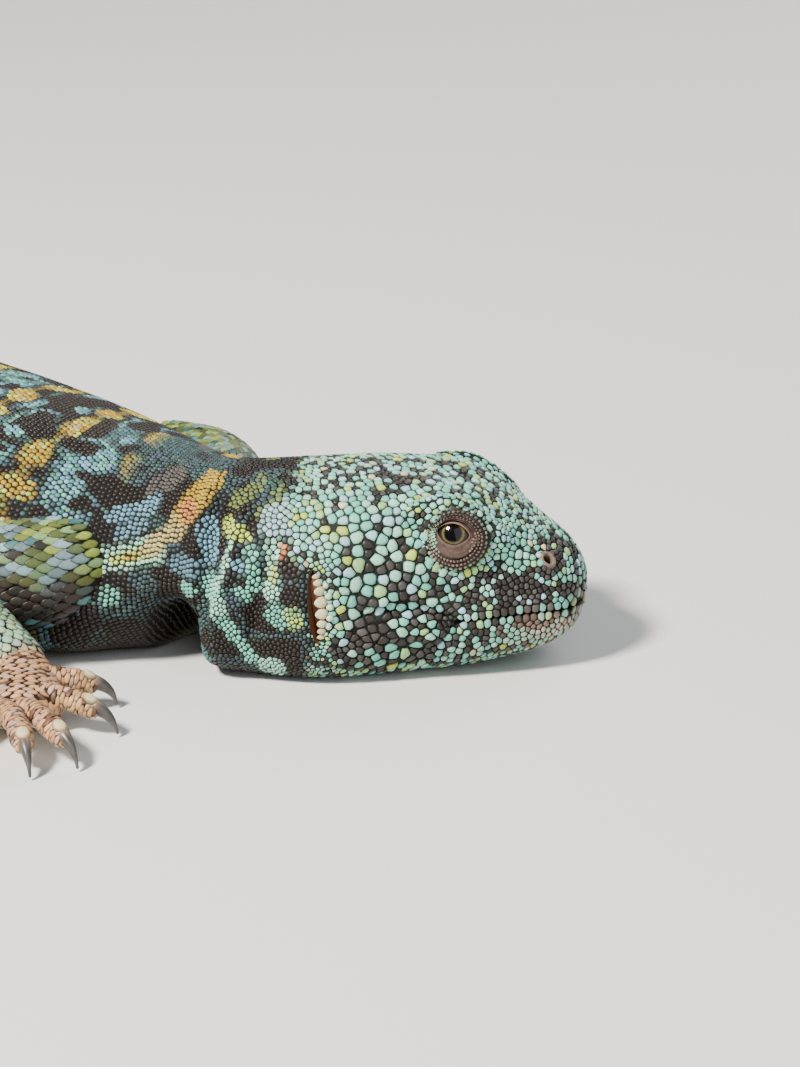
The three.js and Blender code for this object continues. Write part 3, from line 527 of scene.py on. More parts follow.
def lidPatch(side):
    eyeMiddle, forward, upward, outward = eyeFrame(side)
    turn = np.linspace(0, 2 * np.pi, lids["sides"], endpoint=False)
    tilt = math.radians(lids["tilt"])
    # an almond, a little sharper at its two corners
    ax = lids["openingSize"][0] * np.cos(turn) * (1 + lids["corners"] * np.cos(turn) ** 6)
    ay = lids["openingSize"][1] * np.sin(turn) * (1 - lids["flat"] * np.cos(turn) ** 2)
    openX = lids["opening"][0] + ax * math.cos(tilt) - ay * math.sin(tilt)
    openY = lids["opening"][1] + ax * math.sin(tilt) + ay * math.cos(tilt)
    edgeX = lids["border"][0] + lids["borderSize"][0] * np.cos(turn)
    edgeY = lids["border"][1] + lids["borderSize"][1] * np.sin(turn)
    low, high = np.clip(-np.sin(turn), 0, 1), np.clip(np.sin(turn), 0, 1)  # under and over the eye
    rings = []
    for t in lids["shares"]:
        w = max(t, 0)
        x, y = toward(openX, edgeX, w), toward(openY, edgeY, w)
        rho = eyeSpot["radius"] - lids["inside"] if t < 0 else lidRadius(w, turn, low, high)
        depth = np.sqrt(np.maximum(rho ** 2 - x ** 2 - y ** 2, 0.3))
        ring = eyeMiddle + x[:, None] * forward + y[:, None] * upward + depth[:, None] * outward
        blend = smooth(*lids["blend"], w)
        if blend > 0:
            lift, drop, dropFrom = lids["edge"]
            sunk = outward * (lift + drop * smooth(dropFrom, 1.0, w))
            base = [sideRay(eyeSpot["along"] - x[i], eyeSpot["up"] + y[i], side)[0] for i in range(len(turn))]
            ring = toward(ring, np.array(base) - sunk, blend)
        rings.append(ring)
    return np.array(rings)


pocket = {"reach": 0.93, "radius": 3.7}


def pressPocket(points):
    # the trunk's own skin gives way under the lids
    for side in (-1, 1):
        middle, forward, upward, outward = eyeFrame(side)
        rel = points - middle
        far = 0
        for way, centre, size in zip((forward, upward), lids["border"], lids["borderSize"]):
            far = far + ((rel @ way - centre) / (size * pocket["reach"])) ** 2
        inside = (far < 1) & (rel @ outward > 0)
        scale = np.where(inside, np.minimum(1, pocket["radius"] / np.linalg.norm(rel, axis=-1)), 1)
        points = middle + rel * scale[..., None]
    return points


lidGrids = {side: lidPatch(side) for side in (-1, 1)}

# Nostrils and ears; a profile holds the share of the opening's size and the depth (rise where negative) there
nostril = {
    "along": 4.3, "up": 16.7, "size": [0.76, 0.66], "rim": 0.5, "spread": [0.8, 0.8], "lean": 0, "power": 2.0,
    "sides": 40, "press": 0.7, "deep": 2.2, "clear": 0.72,
    "profile": [[0.0, 1.7], [0.45, 1.65], [0.8, 1.3], [0.95, 0.8], [1.0, 0.3], [1.08, 0.02], [1.25, -0.15],
                [1.5, -0.24], [1.8, -0.22], [2.1, -0.12], [2.4, 0.0], [2.7, 0.18], [3.0, 0.45]],
}
ear = {
    "along": 35.35, "up": 12.1, "size": [0.66, 5.0], "rim": 0.35, "spread": [1.0, 4.0],
    "lean": -6, "power": 2.3, "sides": 96, "press": 0.42, "deep": 3.0, "clear": 0.25,
    "profile": [[0.0, 2.5], [0.6, 2.45], [0.9, 2.2], [1.0, 1.7], [1.02, 1.0], [1.06, 0.5], [1.16, 0.15],
                [1.45, -0.06], [1.9, -0.05], [2.4, 0.12], [2.9, 0.45]],
}
openingReach = 5  # mm in front of and behind an opening that still belong to it


def openingFrame(spot, side):
    # middle, way out, way back and way up of an opening on the side of the head
    offsets = [(x, y) for x in (-1, 0, 1) for y in (-0.7, 0, 0.7)]
    hits = [sideRay(spot["along"] + x * spot["spread"][0], spot["up"] + y * spot["spread"][1], side)
            for x, y in offsets]
    centre = sideRay(spot["along"], spot["up"], side)[0]
    normal = np.mean([hit[1] for hit in hits], axis=0)
    normal /= np.linalg.norm(normal)
    lean = math.radians(spot["lean"])
    _, forward, upward, _ = eyeFrame(side)
    back = -forward * math.cos(lean) + upward * math.sin(lean)
    back = back - normal * (back @ normal)
    back /= np.linalg.norm(back)
    rise = np.cross(normal, back)
    return centre, normal, back, -rise if rise[2] < 0 else rise


def roundOff(value, power):
    return np.sign(value) * np.abs(value) ** (2 / power)


def dimple(spot, side):
    # a round or long opening with a rolled rim, set into the side of the head
    turn = np.linspace(0, 2 * np.pi, spot["sides"], endpoint=False)
    centre, normal, back, rise = openingFrame(spot, side)
    rings = []
    for share, depth in spot["profile"]:
        rim = max(share - 1, 0) * spot["rim"]
        x, y = (min(share, 1) * size * roundOff(wave, spot["power"]) + rim * wave
                for size, wave in zip(spot["size"], (np.cos(turn), np.sin(turn))))
        rings.append([dropOn(centre + back * a + rise * b, normal) - normal * depth for a, b in zip(x, y)])
    return np.array(rings)


nostrilGrids = {side: dimple(nostril, side) for side in (-1, 1)}
earGrids = {side: dimple(ear, side) for side in (-1, 1)}
openings = [(spot, side, openingFrame(spot, side)) for spot in (nostril, ear) for side in (-1, 1)]


def openingShare(points, frameOf, spot, reach):
    # how far points lie from an opening's middle, as a share of its size and a reach round it
    centre, normal, back, rise = frameOf
    rel = points - centre
    far = np.hypot(rel @ back / (spot["size"][0] + reach), rel @ rise / (spot["size"][1] + reach))
    return np.where(np.abs(rel @ normal) < openingReach, far, np.inf)


def pressOpening(points, spot, frameOf):
    far = openingShare(points, frameOf, spot, spot["press"])
    share = smooth(1.0, 0.78, np.minimum(far, 2))
    return points - frameOf[1] * (spot["deep"] * share)[..., None]


skinPoints = pressPocket(trunkPoints)
for spot, side, frameOf in openings:
    skinPoints = pressOpening(skinPoints, spot, frameOf)
trunkBall = drawOut("skin", skinPoints, (onTrunk(0.3, 0, 10.6), onTrunk(tailEnd - 0.6, 0, 1.6)))[0]
print("head openings set")

# Limbs: rows hold forward and outward from the root, height, half width and half height;
# digits hold their root, heading in degrees, length and half thickness
frontLimb = {
    "from": 62, "arch": [3.6, 4.8, 4.8, 3.6],
    "upper": [[-2, 12, 14, 7.6, 8.0], [-3, 18, 13.6, 8.0, 8.4], [-10, 25, 12.8, 7.8, 8.2],
              [-20, 29.5, 11.8, 6.8, 7.0]],
    "lower": [[-20.5, 30, 11.4, 6.4, 6.6], [-12, 31.6, 10.2, 6.2, 6.0], [-4, 33.4, 7.4, 5.5, 4.8],
              [2.2, 34.6, 5.4, 5.2, 4.0]],
    "palm": [[3.2, 34.9, 4.8, 5.0, 3.8], [6.8, 38.6, 4.0, 6.0, 3.9], [10.2, 42.0, 3.6, 6.2, 3.3]],
    "digits": [([5.2, 36.8], -42, 9.9, 1.75), ([8.8, 40.2], -20, 10.3, 1.8), ([10.6, 43.4], 15, 11.3, 1.85),
               ([11.0, 45.2], 36, 9.7, 1.85), ([6.6, 45.2], 76, 9.2, 1.75)],
}
hindLimb = {
    "from": 168, "arch": [3.2, 3.6, 3.4, 3.0],
    "upper": [[-1, 8, 12, 9.5, 9.0], [2, 16, 12.4, 9.4, 9.2], [9, 27, 12.0, 8.4, 8.2],
              [17, 37, 10.8, 6.7, 6.8]],
    "lower": [[17.5, 37.5, 10.4, 6.2, 6.4], [8, 40.5, 9.4, 6.6, 6.2], [-3, 43.5, 6.6, 5.0, 4.8],
              [-7, 45, 5.4, 4.5, 4.0]],
    "palm": [[-7.5, 45.4, 4.6, 4.3, 3.8], [-3, 50, 4.0, 5.6, 3.8], [1.5, 54, 3.4, 6.4, 3.2]],
    "digits": [([1.5, 49.0], 2, 9.6, 1.8), ([4.2, 52.0], 22, 12.6, 1.9), ([4.4, 55.2], 40, 15.2, 1.9),
               ([2.4, 57.6], 60, 16.2, 1.9), ([-1.6, 56.6], 98, 10.8, 1.75)],
}
stances = {  # forward, outward, turn in degrees
    "front_right": (0, 0, 0), "front_left": (-7, 2, 9), "hind_right": (0, 0, 0), "hind_left": (8, -2, -10),
}
stanceShares = {"upper": (0, 0.5), "lower": (0.5, 1), "palm": (1, 1)}
digitRows = {"shares": [-0.3, 0.25, 0.65, 1], "taper": [1.08, 1, 0.98, 0.88]}
limbSkin = {
    "inset": 0.38, "footInset": 0.3, "sides": 40, "digitSides": 24, "digitRings": 22, "floor": 0.12,
    "rings": {"upper": 26, "lower": 26, "palm": 12},
    # rings of a round end: angle in degrees and how far out, as a share of the depth
    "caps": [(72, 0.95), (50, 0.766), (27, 0.454)], "capDepth": 0.68,
    "knuckle": 0.07, "knuckles": 2.6, "knuckleFrom": 0.15, "atRoot": 0.3,
}
clawForm = {
    "rings": 16, "sides": 14, "grow": -0.02, "floor": 0.02, "bends": 5,
    "long": 4.9, "fullWide": 1.6, "fullHigh": 3.6,  # its length where the digit ends this wide and this high
    "up": 0.4, "ahead": 0.3, "lowest": 0.3, "point": 0.75, "least": 0.22, "wide": 0.95, "tall": 1.15,
    "dip": 22, "curl": 64,  # degrees below level at its root, and more to its tip
}


def limbStations(limb, part, side, stance):
    root = onTrunk(limb["from"], 0, 0)
    low, high = stanceShares[part]
    rows = limb[part]
    made = []
    for i, (forward, outward, up, wide, tall) in enumerate(rows):
        share = low + (high - low) * i / (len(rows) - 1)
        made.append([i, root[0] + forward + share * stance[0],
                     root[1] + side * (outward + share * stance[1]), up, wide, tall])
    return made


def digitStations(limb, digit, side, stance):
    root = onTrunk(limb["from"], 0, 0)
    (rx, ry), heading, length, thick = digit
    aim = math.radians(heading + stance[2])
    made = []
    for i, (share, taper) in enumerate(zip(digitRows["shares"], digitRows["taper"])):
        made.append([i, root[0] + rx + stance[0] + share * length * math.cos(aim),
                     root[1] + side * (ry + stance[1] + share * length * math.sin(aim)),
                     limb["arch"][i], thick * taper, thick * taper])
    return made


def clawStations(stations):
    # a claw starts over the end of its digit and bends down to the floor
    _, x, y, z, wide, _ = stations[-1]
    _, px, py = stations[-2][:3]
    level = np.array([x - px, y - py, 0.0])
    level /= np.linalg.norm(level)
    at = np.array([x, y, z + clawForm["up"]]) + level * clawForm["ahead"]
    bends, least = clawForm["bends"], clawForm["least"]
    step = clawForm["long"] / bends * min(wide / clawForm["fullWide"], z / clawForm["fullHigh"])
    rows = []
    for i in range(bends + 1):
        thick = (1 - i / bends) ** clawForm["point"]
        rows.append([i, at[0], at[1], max(at[2], clawForm["lowest"]),
                     max(least, clawForm["wide"] * thick), max(least, clawForm["tall"] * thick)])
        dip = math.radians(clawForm["dip"] + clawForm["curl"] * i / bends)
        at = at + level * step * math.cos(dip)
        at[2] -= step * math.sin(dip)
    return rows


def tubeGrid(stations, rings, sides, grow, floor, swell=None):
    # rings of points round a limb, closed to a round cap at both ends
    last = len(stations) - 1

    def pointAt(t):
        return rowAt(stations, t)[1:4]

    def ring(t, scale, slip):
        row = rowAt(stations, t)
        tangent = pointAt(min(last, t + 0.05)) - pointAt(max(0, t - 0.05))
        tangent /= np.linalg.norm(tangent)
        across = np.cross([0, 0, 1], tangent)
        across /= np.linalg.norm(across)
        over = np.cross(tangent, across)
        turn = 2 * np.pi * (np.arange(sides) + 0.5) / sides
        fat = swell(t / last) if swell else 1.0
        wide, tall = (row[4] + grow) * scale * fat, (row[5] + grow) * scale * fat
        made = (pointAt(t) + tangent * slip + np.outer(np.cos(turn) * wide, across)
                + np.outer(np.sin(turn) * tall, over))
        made[:, 2] = np.maximum(made[:, 2], floor)
        return made
    first, final = [limbSkin["capDepth"] * (min(rowAt(stations, t)[4:6]) + grow) for t in (0, last)]
    caps = [(math.cos(math.radians(angle)), slip) for angle, slip in limbSkin["caps"]]
    made = [ring(0, scale, -first * slip) for scale, slip in caps]
    made += [ring(t, 1, 0) for t in np.linspace(0, last, rings)]
    made += [ring(last, scale, final * slip) for scale, slip in caps[::-1]]
    return np.array(made)


def ballOf(name, points):
    return drawOut(name, points, (points[0].mean(axis=0), points[-1].mean(axis=0)))


def knuckles(t):
    # joints of a digit stand out a little from its shaft
    start = limbSkin["knuckleFrom"]
    wave = math.cos(2 * math.pi * (t * limbSkin["knuckles"] - start))
    return 1 + limbSkin["knuckle"] * wave * (1 if t > start else limbSkin["atRoot"])


limbGrids = []  # name of the limb, part, grid
clawGrids = []
for limbName, stance in stances.items():
    limb = frontLimb if limbName.startswith("front") else hindLimb
    side = -1 if limbName.endswith("right") else 1
    for part, rings in limbSkin["rings"].items():
        inset = limbSkin["footInset"] if part == "palm" else limbSkin["inset"]
        stations = limbStations(limb, part, side, stance)
        points = tubeGrid(stations, rings, limbSkin["sides"], -inset, limbSkin["floor"])
        limbGrids.append((limbName, part, points))
    for digit in limb["digits"]:
        stations = digitStations(limb, digit, side, stance)
        points = tubeGrid(stations, limbSkin["digitRings"], limbSkin["digitSides"],
                          -limbSkin["footInset"], limbSkin["floor"], knuckles)
        limbGrids.append((limbName, "digit", points))
        clawGrids.append(tubeGrid(clawStations(stations), clawForm["rings"], clawForm["sides"],
                                  clawForm["grow"], clawForm["floor"]))
print("limbs", len(limbGrids), "claws", len(clawGrids))

# Markings, shared by the skin and the scales; pickA and pickB are two random shares of each scale
paints = {name: np.array([(int(code[i:i + 2], 16) / 255) ** 2.2 for i in (0, 2, 4)]) for name, code in {
    "turquoise": "7cc8b2", "mint": "a4dcc2", "leaf": "a6d08c", "paleBlue": "a8d2d8", "lime": "bccf5e",
    "blue": "7fb0c4", "bark": "443f3a", "ash": "625e5a", "night": "231e1a", "umber": "3a302a",
    "ochre": "bd9a32", "rust": "c67a4a", "cream": "ddd3a8", "belly": "b9b594", "teal": "5f9a98",
    "moss": "7c8c50", "sky": "a9cbd0", "sand": "cf9e70", "cocoa": "6a4c3a", "rose": "c69f8a",
    "mauve": "77625a", "straw": "c2b070", "olive": "6f7448",
}.items()}


def mixIn(base, colour, share):
    return toward(base, colour, np.clip(share, 0, 1)[:, None])


def pick(table, value):
    # value from 0 to 1 chooses from weighted colours
    weights = np.array([w for _, w in table], float)
    edges = np.cumsum(weights) / weights.sum()
    index = np.clip(np.searchsorted(edges, value), 0, len(table) - 1)
    return np.array([paints[name] for name, _ in table])[index]


def shaded(colour, least, spread, share):
    # a colour made darker or lighter by a share: from scale to scale, and also for painted shade low on the
    # head and on the upper limbs
    return colour * (least + spread * share)[:, None]


def patchSum(base, patches, s, up):
    # soft patches on the side of the head: strength, place and reach along, height and reach up
    total = base
    for strength, along, alongReach, height, heightReach in patches:
        total = total + strength * bump(s, along, alongReach) * bump(up, height, heightReach)
    return total


headColours = {
    "light": [("turquoise", 40), ("mint", 26), ("leaf", 13), ("paleBlue", 11), ("lime", 3), ("cream", 2)],
    "dark": [("bark", 5), ("ash", 3)],
    # paintedUnderShade is painted shade: the scales low on the head are darker, as if in the shade under it
    "lightShade": (0.66, 0.36), "darkShade": (0.42, 0.45), "paintedUnderShade": (0.24, 8, 3),
    "base": 0.13, "grain": 0.22, "grainSize": 3.2,
    # front, nostril, corner of the mouth, cheek, throat, behind the lids, upper lip, patch behind the nostril
    "darkPatches": [(0.76, 8.4, 5.5, 12.8, 3.4), (0.42, 4.0, 2.6, 16.5, 3.0), (0.46, 20.5, 7, 10.4, 3.2),
                    (0.50, 30, 7, 6.6, 4.2), (0.42, 21, 9, 3.0, 2.6), (0.30, 23.5, 2.2, 16, 5),
                    (0.35, 12, 3, 8.0, 1.3), (-0.6, 8.9, 1.5, 17.6, 2.2)],
    "crownDark": (0.3, 5, 20, 26), "topDark": (0.08, 23, 25.5),
    "lip": (0.75, 6.6, 2.2, 12, 5), "tip": (0.6, 2.6, 0.6, 15, 11),
}


def darkShare(s, away, up, p):
    # how many of the head's scales are dark at a place
    dark = patchSum(headColours["base"], headColours["darkPatches"], s, up)
    strength, reach, low, high = headColours["crownDark"]
    dark = dark + strength * bump(away, 0, reach) * smooth(low, high, up)
    strength, low, high = headColours["topDark"]
    dark = dark + strength * smooth(low, high, up)
    # painted shade: more dark scales in the brow's furrow; fewer on its pale ridge
    for line, width, strength in brow["furrowShadeRidgePale"]:
        dark = dark + strength * pathShare(s, away, up, brow[line], width)
    return dark + headColours["grain"] * grain(p, headColours["grainSize"], 5)


def headTint(s, out, up, p, pickA, pickB):
    dark = darkShare(s, np.abs(out), up, p)
    light = shaded(pick(headColours["light"], pickB), *headColours["lightShade"], pickA)
    low = shaded(pick(headColours["dark"], pickB), *headColours["darkShade"], pickA)
    tint = np.where((pickA * 0.999 < dark)[:, None], low, light)
    # painted shade: scales low on the head darker, as if in the shade under it
    strength, start, end = headColours["paintedUnderShade"]
    tint = shaded(tint, 1, -strength, smooth(start, end, up))
    # tan lower lip and greyish snout tip
    strength, height, reach, start, end = headColours["lip"]
    tint = mixIn(tint, paints["rose"],
                 strength * bump(up, height, reach) * smooth(start, end, s) * (0.5 + 0.5 * pickB))
    strength, start, end, top, bottom = headColours["tip"]
    return mixIn(tint, paints["ash"], strength * smooth(start, end, s) * smooth(top, bottom, up))


# marks on both sides of the neck: a line along and up, its width, colour and strength
neckMarks = [
    ([[44.0, 22.5], [42.0, 25.0]], 0.6, "moss", 0.7), ([[48.0, 23.4], [45.5, 25.4]], 0.6, "moss", 0.7),
    ([[50.8, 20.6], [49.9, 17.0]], 1.0, "blue", 0.75), ([[46.4, 17.2], [45.9, 16.6]], 0.7, "blue", 0.8),
    ([[44.6, 18.2], [43.6, 14.2]], 0.9, "turquoise", 0.95),
    ([[45.6, 13.4], [45.0, 12.9]], 0.8, "turquoise", 0.9),
    ([[41.8, 19.6], [41.4, 13.6]], 0.9, "mint", 1.0), ([[41.4, 17.4], [41.5, 15.6]], 0.5, "lime", 0.8),
    ([[40.5, 19.1], [40.4, 18.7]], 0.6, "rust", 0.9), ([[49.4, 13.9], [49.0, 12.9]], 1.3, "turquoise", 1.0),
    ([[47.4, 20.7], [47.3, 17.6], [48.2, 15.4], [49.0, 13.4]], 0.42, "mint", 0.95),
    ([[47.9, 21.0], [45.7, 20.4]], 0.8, "lime", 0.95), ([[48.3, 11.4], [48.1, 10.5]], 0.9, "mint", 0.95),
    ([[47.2, 8.7], [44.0, 4.5]], 0.85, "turquoise", 1.0), ([[42.0, 2.8], [41.2, 2.6]], 1.4, "mint", 0.95),
    ([[40.7, 10.9], [40.3, 10.1]], 1.4, "turquoise", 0.9), ([[38.7, 10.9], [38.1, 10.1]], 1.2, "leaf", 0.7),
    ([[38.0, 10.2], [37.6, 9.9]], 0.6, "lime", 0.8), ([[42.2, 22.2], [37.0, 24.0]], 1.6, "sky", 0.85),
    ([[38.6, 23.6], [38.0, 23.3]], 0.7, "lime", 0.9), ([[61.4, 16.3], [57.0, 17.5]], 1.6, "mint", 0.95),
    ([[60.2, 16.6], [58.0, 17.2]], 0.85, "lime", 0.9), ([[59.4, 16.8], [58.8, 17.0]], 0.5, "ochre", 0.8),
    ([[57.0, 17.6], [55.2, 19.6], [53.6, 22.6]], 1.0, "straw", 0.9),
    ([[53.6, 22.6], [51.8, 25.2]], 1.3, "ochre", 0.9),
    ([[53.8, 22.8], [53.4, 22.3]], 0.8, "rust", 0.85), ([[61.6, 21.6], [57.8, 22.9]], 0.9, "blue", 0.7),
    ([[60.4, 19.7], [58.2, 20.6]], 0.8, "blue", 0.6), ([[58.5, 24.9], [56.5, 25.5]], 1.0, "ash", 0.7),
    ([[52.3, 12.8], [52.1, 12.3]], 0.8, "turquoise", 0.95), ([[53.4, 16.4], [52.2, 15.6]], 1.2, "blue", 0.45),
    ([[60.6, 11.8], [60.3, 11.2]], 0.9, "turquoise", 0.8), ([[54.6, 7.8], [54.3, 7.2]], 0.8, "teal", 0.6),
    ([[50.4, 4.0], [50.0, 3.0]], 0.8, "teal", 0.5),
]
markForm = {"until": 66, "wobble": 0.5, "wobbleSize": 1.7, "grow": 1.15, "edge": (0.25, 0.55), "off": 3}
backForm = {
    "net": [("blue", 4), ("teal", 3), ("turquoise", 2)], "netSize": 3.9, "netThin": 4.6, "netStrength": 0.9,
    "spotSize": 3.0, "spotEdge": (0.28, 0.5), "netFrom": (0.30, 0.46),
    "netOnNeck": 0.22, "netAlong": (60, 68),
    "bars": [("ochre", 6), ("straw", 1), ("lime", 2)], "barStep": 13.5, "barStart": 60, "barSlant": 3.0,
    "barFrom": (0.36, 0.50), "barAlong": (61, 65),
    "bend": 3.6, "bendSize": 11, "ragged": 1.5, "raggedSize": 3.6,
    "blotWide": 7.6, "blotStep": 0.37, "blotBend": 0.35, "blotEdge": (0.20, 0.50), "join": 0.35,
    "barEdge": (0.62, 0.80), "borderEdge": (0.34, 0.56), "broken": 0.16, "border": 0.85,
}


def onBack(tint, s, a, p, pickA, pickB):
    # a net of blue-green over the dark ground
    form = backForm
    veins = 1 - np.abs(grain(p, form["netSize"], 3)) * form["netThin"]
    spots = smooth(*form["spotEdge"], grain(p, form["spotSize"], 4))
    cool = shaded(pick(form["net"], pickB), 0.55, 0.5, pickA)
    share = smooth(*form["netFrom"], a) * toward(form["netOnNeck"], 1, smooth(*form["netAlong"], s))
    return mixIn(tint, cool, share * np.clip(np.maximum(veins, spots), 0, 1) * form["netStrength"])


def barsOnBack(tint, s, a, out, p, pickA, pickB):
    # broken yellow bars with a dark border across the back
    form = backForm
    reach = smooth(*form["barFrom"], a) * smooth(*form["barAlong"], s)
    waver = form["bend"] * grain(p, form["bendSize"], 6) + form["ragged"] * grain(p, form["raggedSize"], 16)
    phase = (s - form["barStart"] + waver + form["barSlant"] * (1 - a)) / form["barStep"]
    wave = np.cos(2 * np.pi * phase) * 0.5 + 0.5
    turn = out / form["blotWide"] + form["blotStep"] * np.round(phase) + form["blotBend"] * grain(p, 7, 17)
    blots = np.cos(2 * np.pi * turn) * 0.5 + 0.5
    fill = smooth(*form["blotEdge"], blots + 0.18 * grain(p, 5, 19)) + form["join"] * smooth(0.92, 0.99, wave)
    lowered = wave - form["broken"] * (1 - blots)
    bar = smooth(*form["barEdge"], lowered + 0.05 * grain(p, 1.8, 18)) * np.clip(fill, 0, 1)
    yellow = shaded(pick(form["bars"], pickB), 0.58, 0.38, pickA)
    tint = mixIn(tint, paints["night"], reach * smooth(*form["borderEdge"], lowered) * form["border"])
    return mixIn(tint, yellow, reach * bar)


def marksOnNeck(tint, s, out, up, p, pickA):
    near = s < markForm["until"]
    if not near.any():
        return tint
    wobbleS, wobbleUp = (value[near] + markForm["wobble"] * grain(p[near], markForm["wobbleSize"], seed)
                         for value, seed in ((s, 10), (up, 14)))
    for line, width, name, strength in neckMarks:
        share = smooth(*markForm["edge"], strokeShare(wobbleS, wobbleUp, line, width * markForm["grow"]))
        share = share * (np.abs(out[near]) > markForm["off"])
        tint[near] = mixIn(tint[near], paints[name] * (0.75 + 0.35 * pickA[near, None]), strength * share)
    return tint


def trunkTint(s, a, out, up, p, pickA, pickB):
    # a is 0 on the keel and 1 on the crown
    tint = shaded(np.tile(paints["night"], (len(s), 1)), 0.6, 0.6, pickA)
    tint = mixIn(tint, paints["umber"], 0.4 * (0.5 + 0.5 * grain(p, 6, 2)))
    tint = onBack(tint, s, a, p, pickA, pickB)
    tint = barsOnBack(tint, s, a, out, p, pickA, pickB)
    # greenish flanks and pale belly
    flank = smooth(0.40, 0.24, a) * smooth(60, 80, s)
    side = shaded(np.where((pickB < 0.5)[:, None], paints["moss"], paints["olive"]), 0.7, 0.6, pickA)
    tint = mixIn(tint, side, flank * (0.45 + 0.4 * grain(p, 5, 8)))
    under = smooth(0.22, 0.10, a) * smooth(48, 64, s)
    pale = shaded(paints["belly"][None], 0.85, 0.2, pickA)
    tint = mixIn(tint, pale, under * (0.75 + 0.25 * grain(p, 7, 9)))
    return marksOnNeck(tint, s, out, up, p, pickA)


tailRing = 31.0  # length of one dark and one pale band of the tail


def tailTint(s, a, p, pickA, pickB):
    tint = shaded(np.where((pickB < 0.5)[:, None], paints["olive"], paints["moss"]), 0.75, 0.5, pickA)
    band = np.cos(2 * np.pi * (s - tailStart) / tailRing)
    pale = 0.7 * smooth(0.2, 0.8, -band) * smooth(0.2, 0.5, a) * (0.6 + 0.4 * pickA)
    tint = mixIn(tint, paints["umber"], 0.75 * smooth(0.1, 0.7, band) * smooth(0.25, 0.5, a))
    tint = mixIn(tint, paints["straw"], pale)
    tint = mixIn(tint, paints["teal"], 0.35 * smooth(230, 190, s) * smooth(0.1, 0.5, grain(p, 3, 11)))
    return mixIn(tint, paints["belly"] * 0.9, smooth(0.28, 0.12, a) * 0.8)


limbColours = {
    "top": [("moss", 30), ("lime", 15), ("leaf", 24), ("sky", 15), ("teal", 12), ("bark", 6)],
    "low": [("umber", 6), ("bark", 4)], "foot": [("sand", 6), ("rose", 2), ("cocoa", 1)],
    # the upper parts' tops are darker than the lower parts': painted shadow
    "topLeastAndArmShade": {"upper": 0.20, "lower": 0.42}, "topRange": 0.36,
    "lowShade": (0.40, 0.4), "footShade": (0.62, 0.34),  # darkest, and how much lighter
    "turns": {"upper": (-0.05, 0.45, 0.5), "lower": (-0.7, 0.1, 0.4)},  # from low to top: start, end, waver
    "wrist": (0.82, 1.0), "pale": (0.35, 0.75),
}


def limbTint(part, height, u, p, pickA, pickB):
    # height is -1 under the limb and 1 on top of it, u runs from its root to its end
    foot = shaded(pick(limbColours["foot"], pickB), *limbColours["footShade"], pickA)
    if part in ("palm", "digit"):
        return mixIn(foot, paints["belly"], 0.6 * smooth(-0.3, -0.8, height))
    # on the upper part of a limb the darkest top tone is painted shadow
    least = limbColours["topLeastAndArmShade"][part]
    top = shaded(pick(limbColours["top"], pickB), least, limbColours["topRange"], pickA)
    low = shaded(pick(limbColours["low"], pickB), *limbColours["lowShade"], pickA)
    start, end, waver = limbColours["turns"][part]
    share = smooth(start, end, height + waver * grain(p, 4, 12))
    if part == "lower":
        pale = paints["sky"] * 0.45 + paints["leaf"] * 0.45
        top = mixIn(top, pale, 0.6 * smooth(*limbColours["pale"], u))
    tint = mixIn(low, top, share)
    tint = mixIn(tint, paints["teal"], 0.6 * smooth(0.25, 0.5, grain(p, 1.9, 13)) * (1 - share))
    return mixIn(tint, foot, smooth(*limbColours["wrist"], u)) if part == "lower" else tint


# Scales: each has a root with a place, three ways (out, back along the body, across) and a form
def sample(points, ring, side):
    # places, normals and the way back along the body at fractional places of a grid
    rings, sides = points.shape[:2]
    ring = np.clip(ring, 0, rings - 1.001)
    i, k = np.floor(ring).astype(int), np.floor(side).astype(int)
    down, over = (ring - i)[:, None], (side - np.floor(side))[:, None]
    k0, k1 = k % sides, (k + 1) % sides
    p00, p01, p10, p11 = points[i, k0], points[i, k1], points[i + 1, k0], points[i + 1, k1]
    at = toward(toward(p00, p01, over), toward(p10, p11, over), down)
    back = toward(p10 - p00, p11 - p01, over)
    normal = np.cross(back, toward(p01 - p00, p11 - p10, down))
    return at, normal / (np.linalg.norm(normal, axis=1, keepdims=True) + 1e-12), back


def rootsOf(at, normal, back, outwardFrom=None):
    if outwardFrom is not None:
        flip = np.sum(normal * (at - outwardFrom), axis=1) < 0
        normal = np.where(flip[:, None], -normal, normal)
    back = back - normal * np.sum(back * normal, axis=1, keepdims=True)
    back /= np.linalg.norm(back, axis=1, keepdims=True) + 1e-12
    return {"at": at, "normal": normal, "back": back, "across": np.cross(normal, back)}


def gridRoots(points, ring, side, outwardFrom=None):
    at, normal, back = sample(points, ring, side)
    if outwardFrom is None:
        middle = points.mean(axis=1)
        i = np.floor(ring).astype(int)
        outwardFrom = middle[np.clip(i, 6, len(points) - 7)]  # the first and last rings lie too near the ends
    return rootsOf(at, normal, back, outwardFrom)


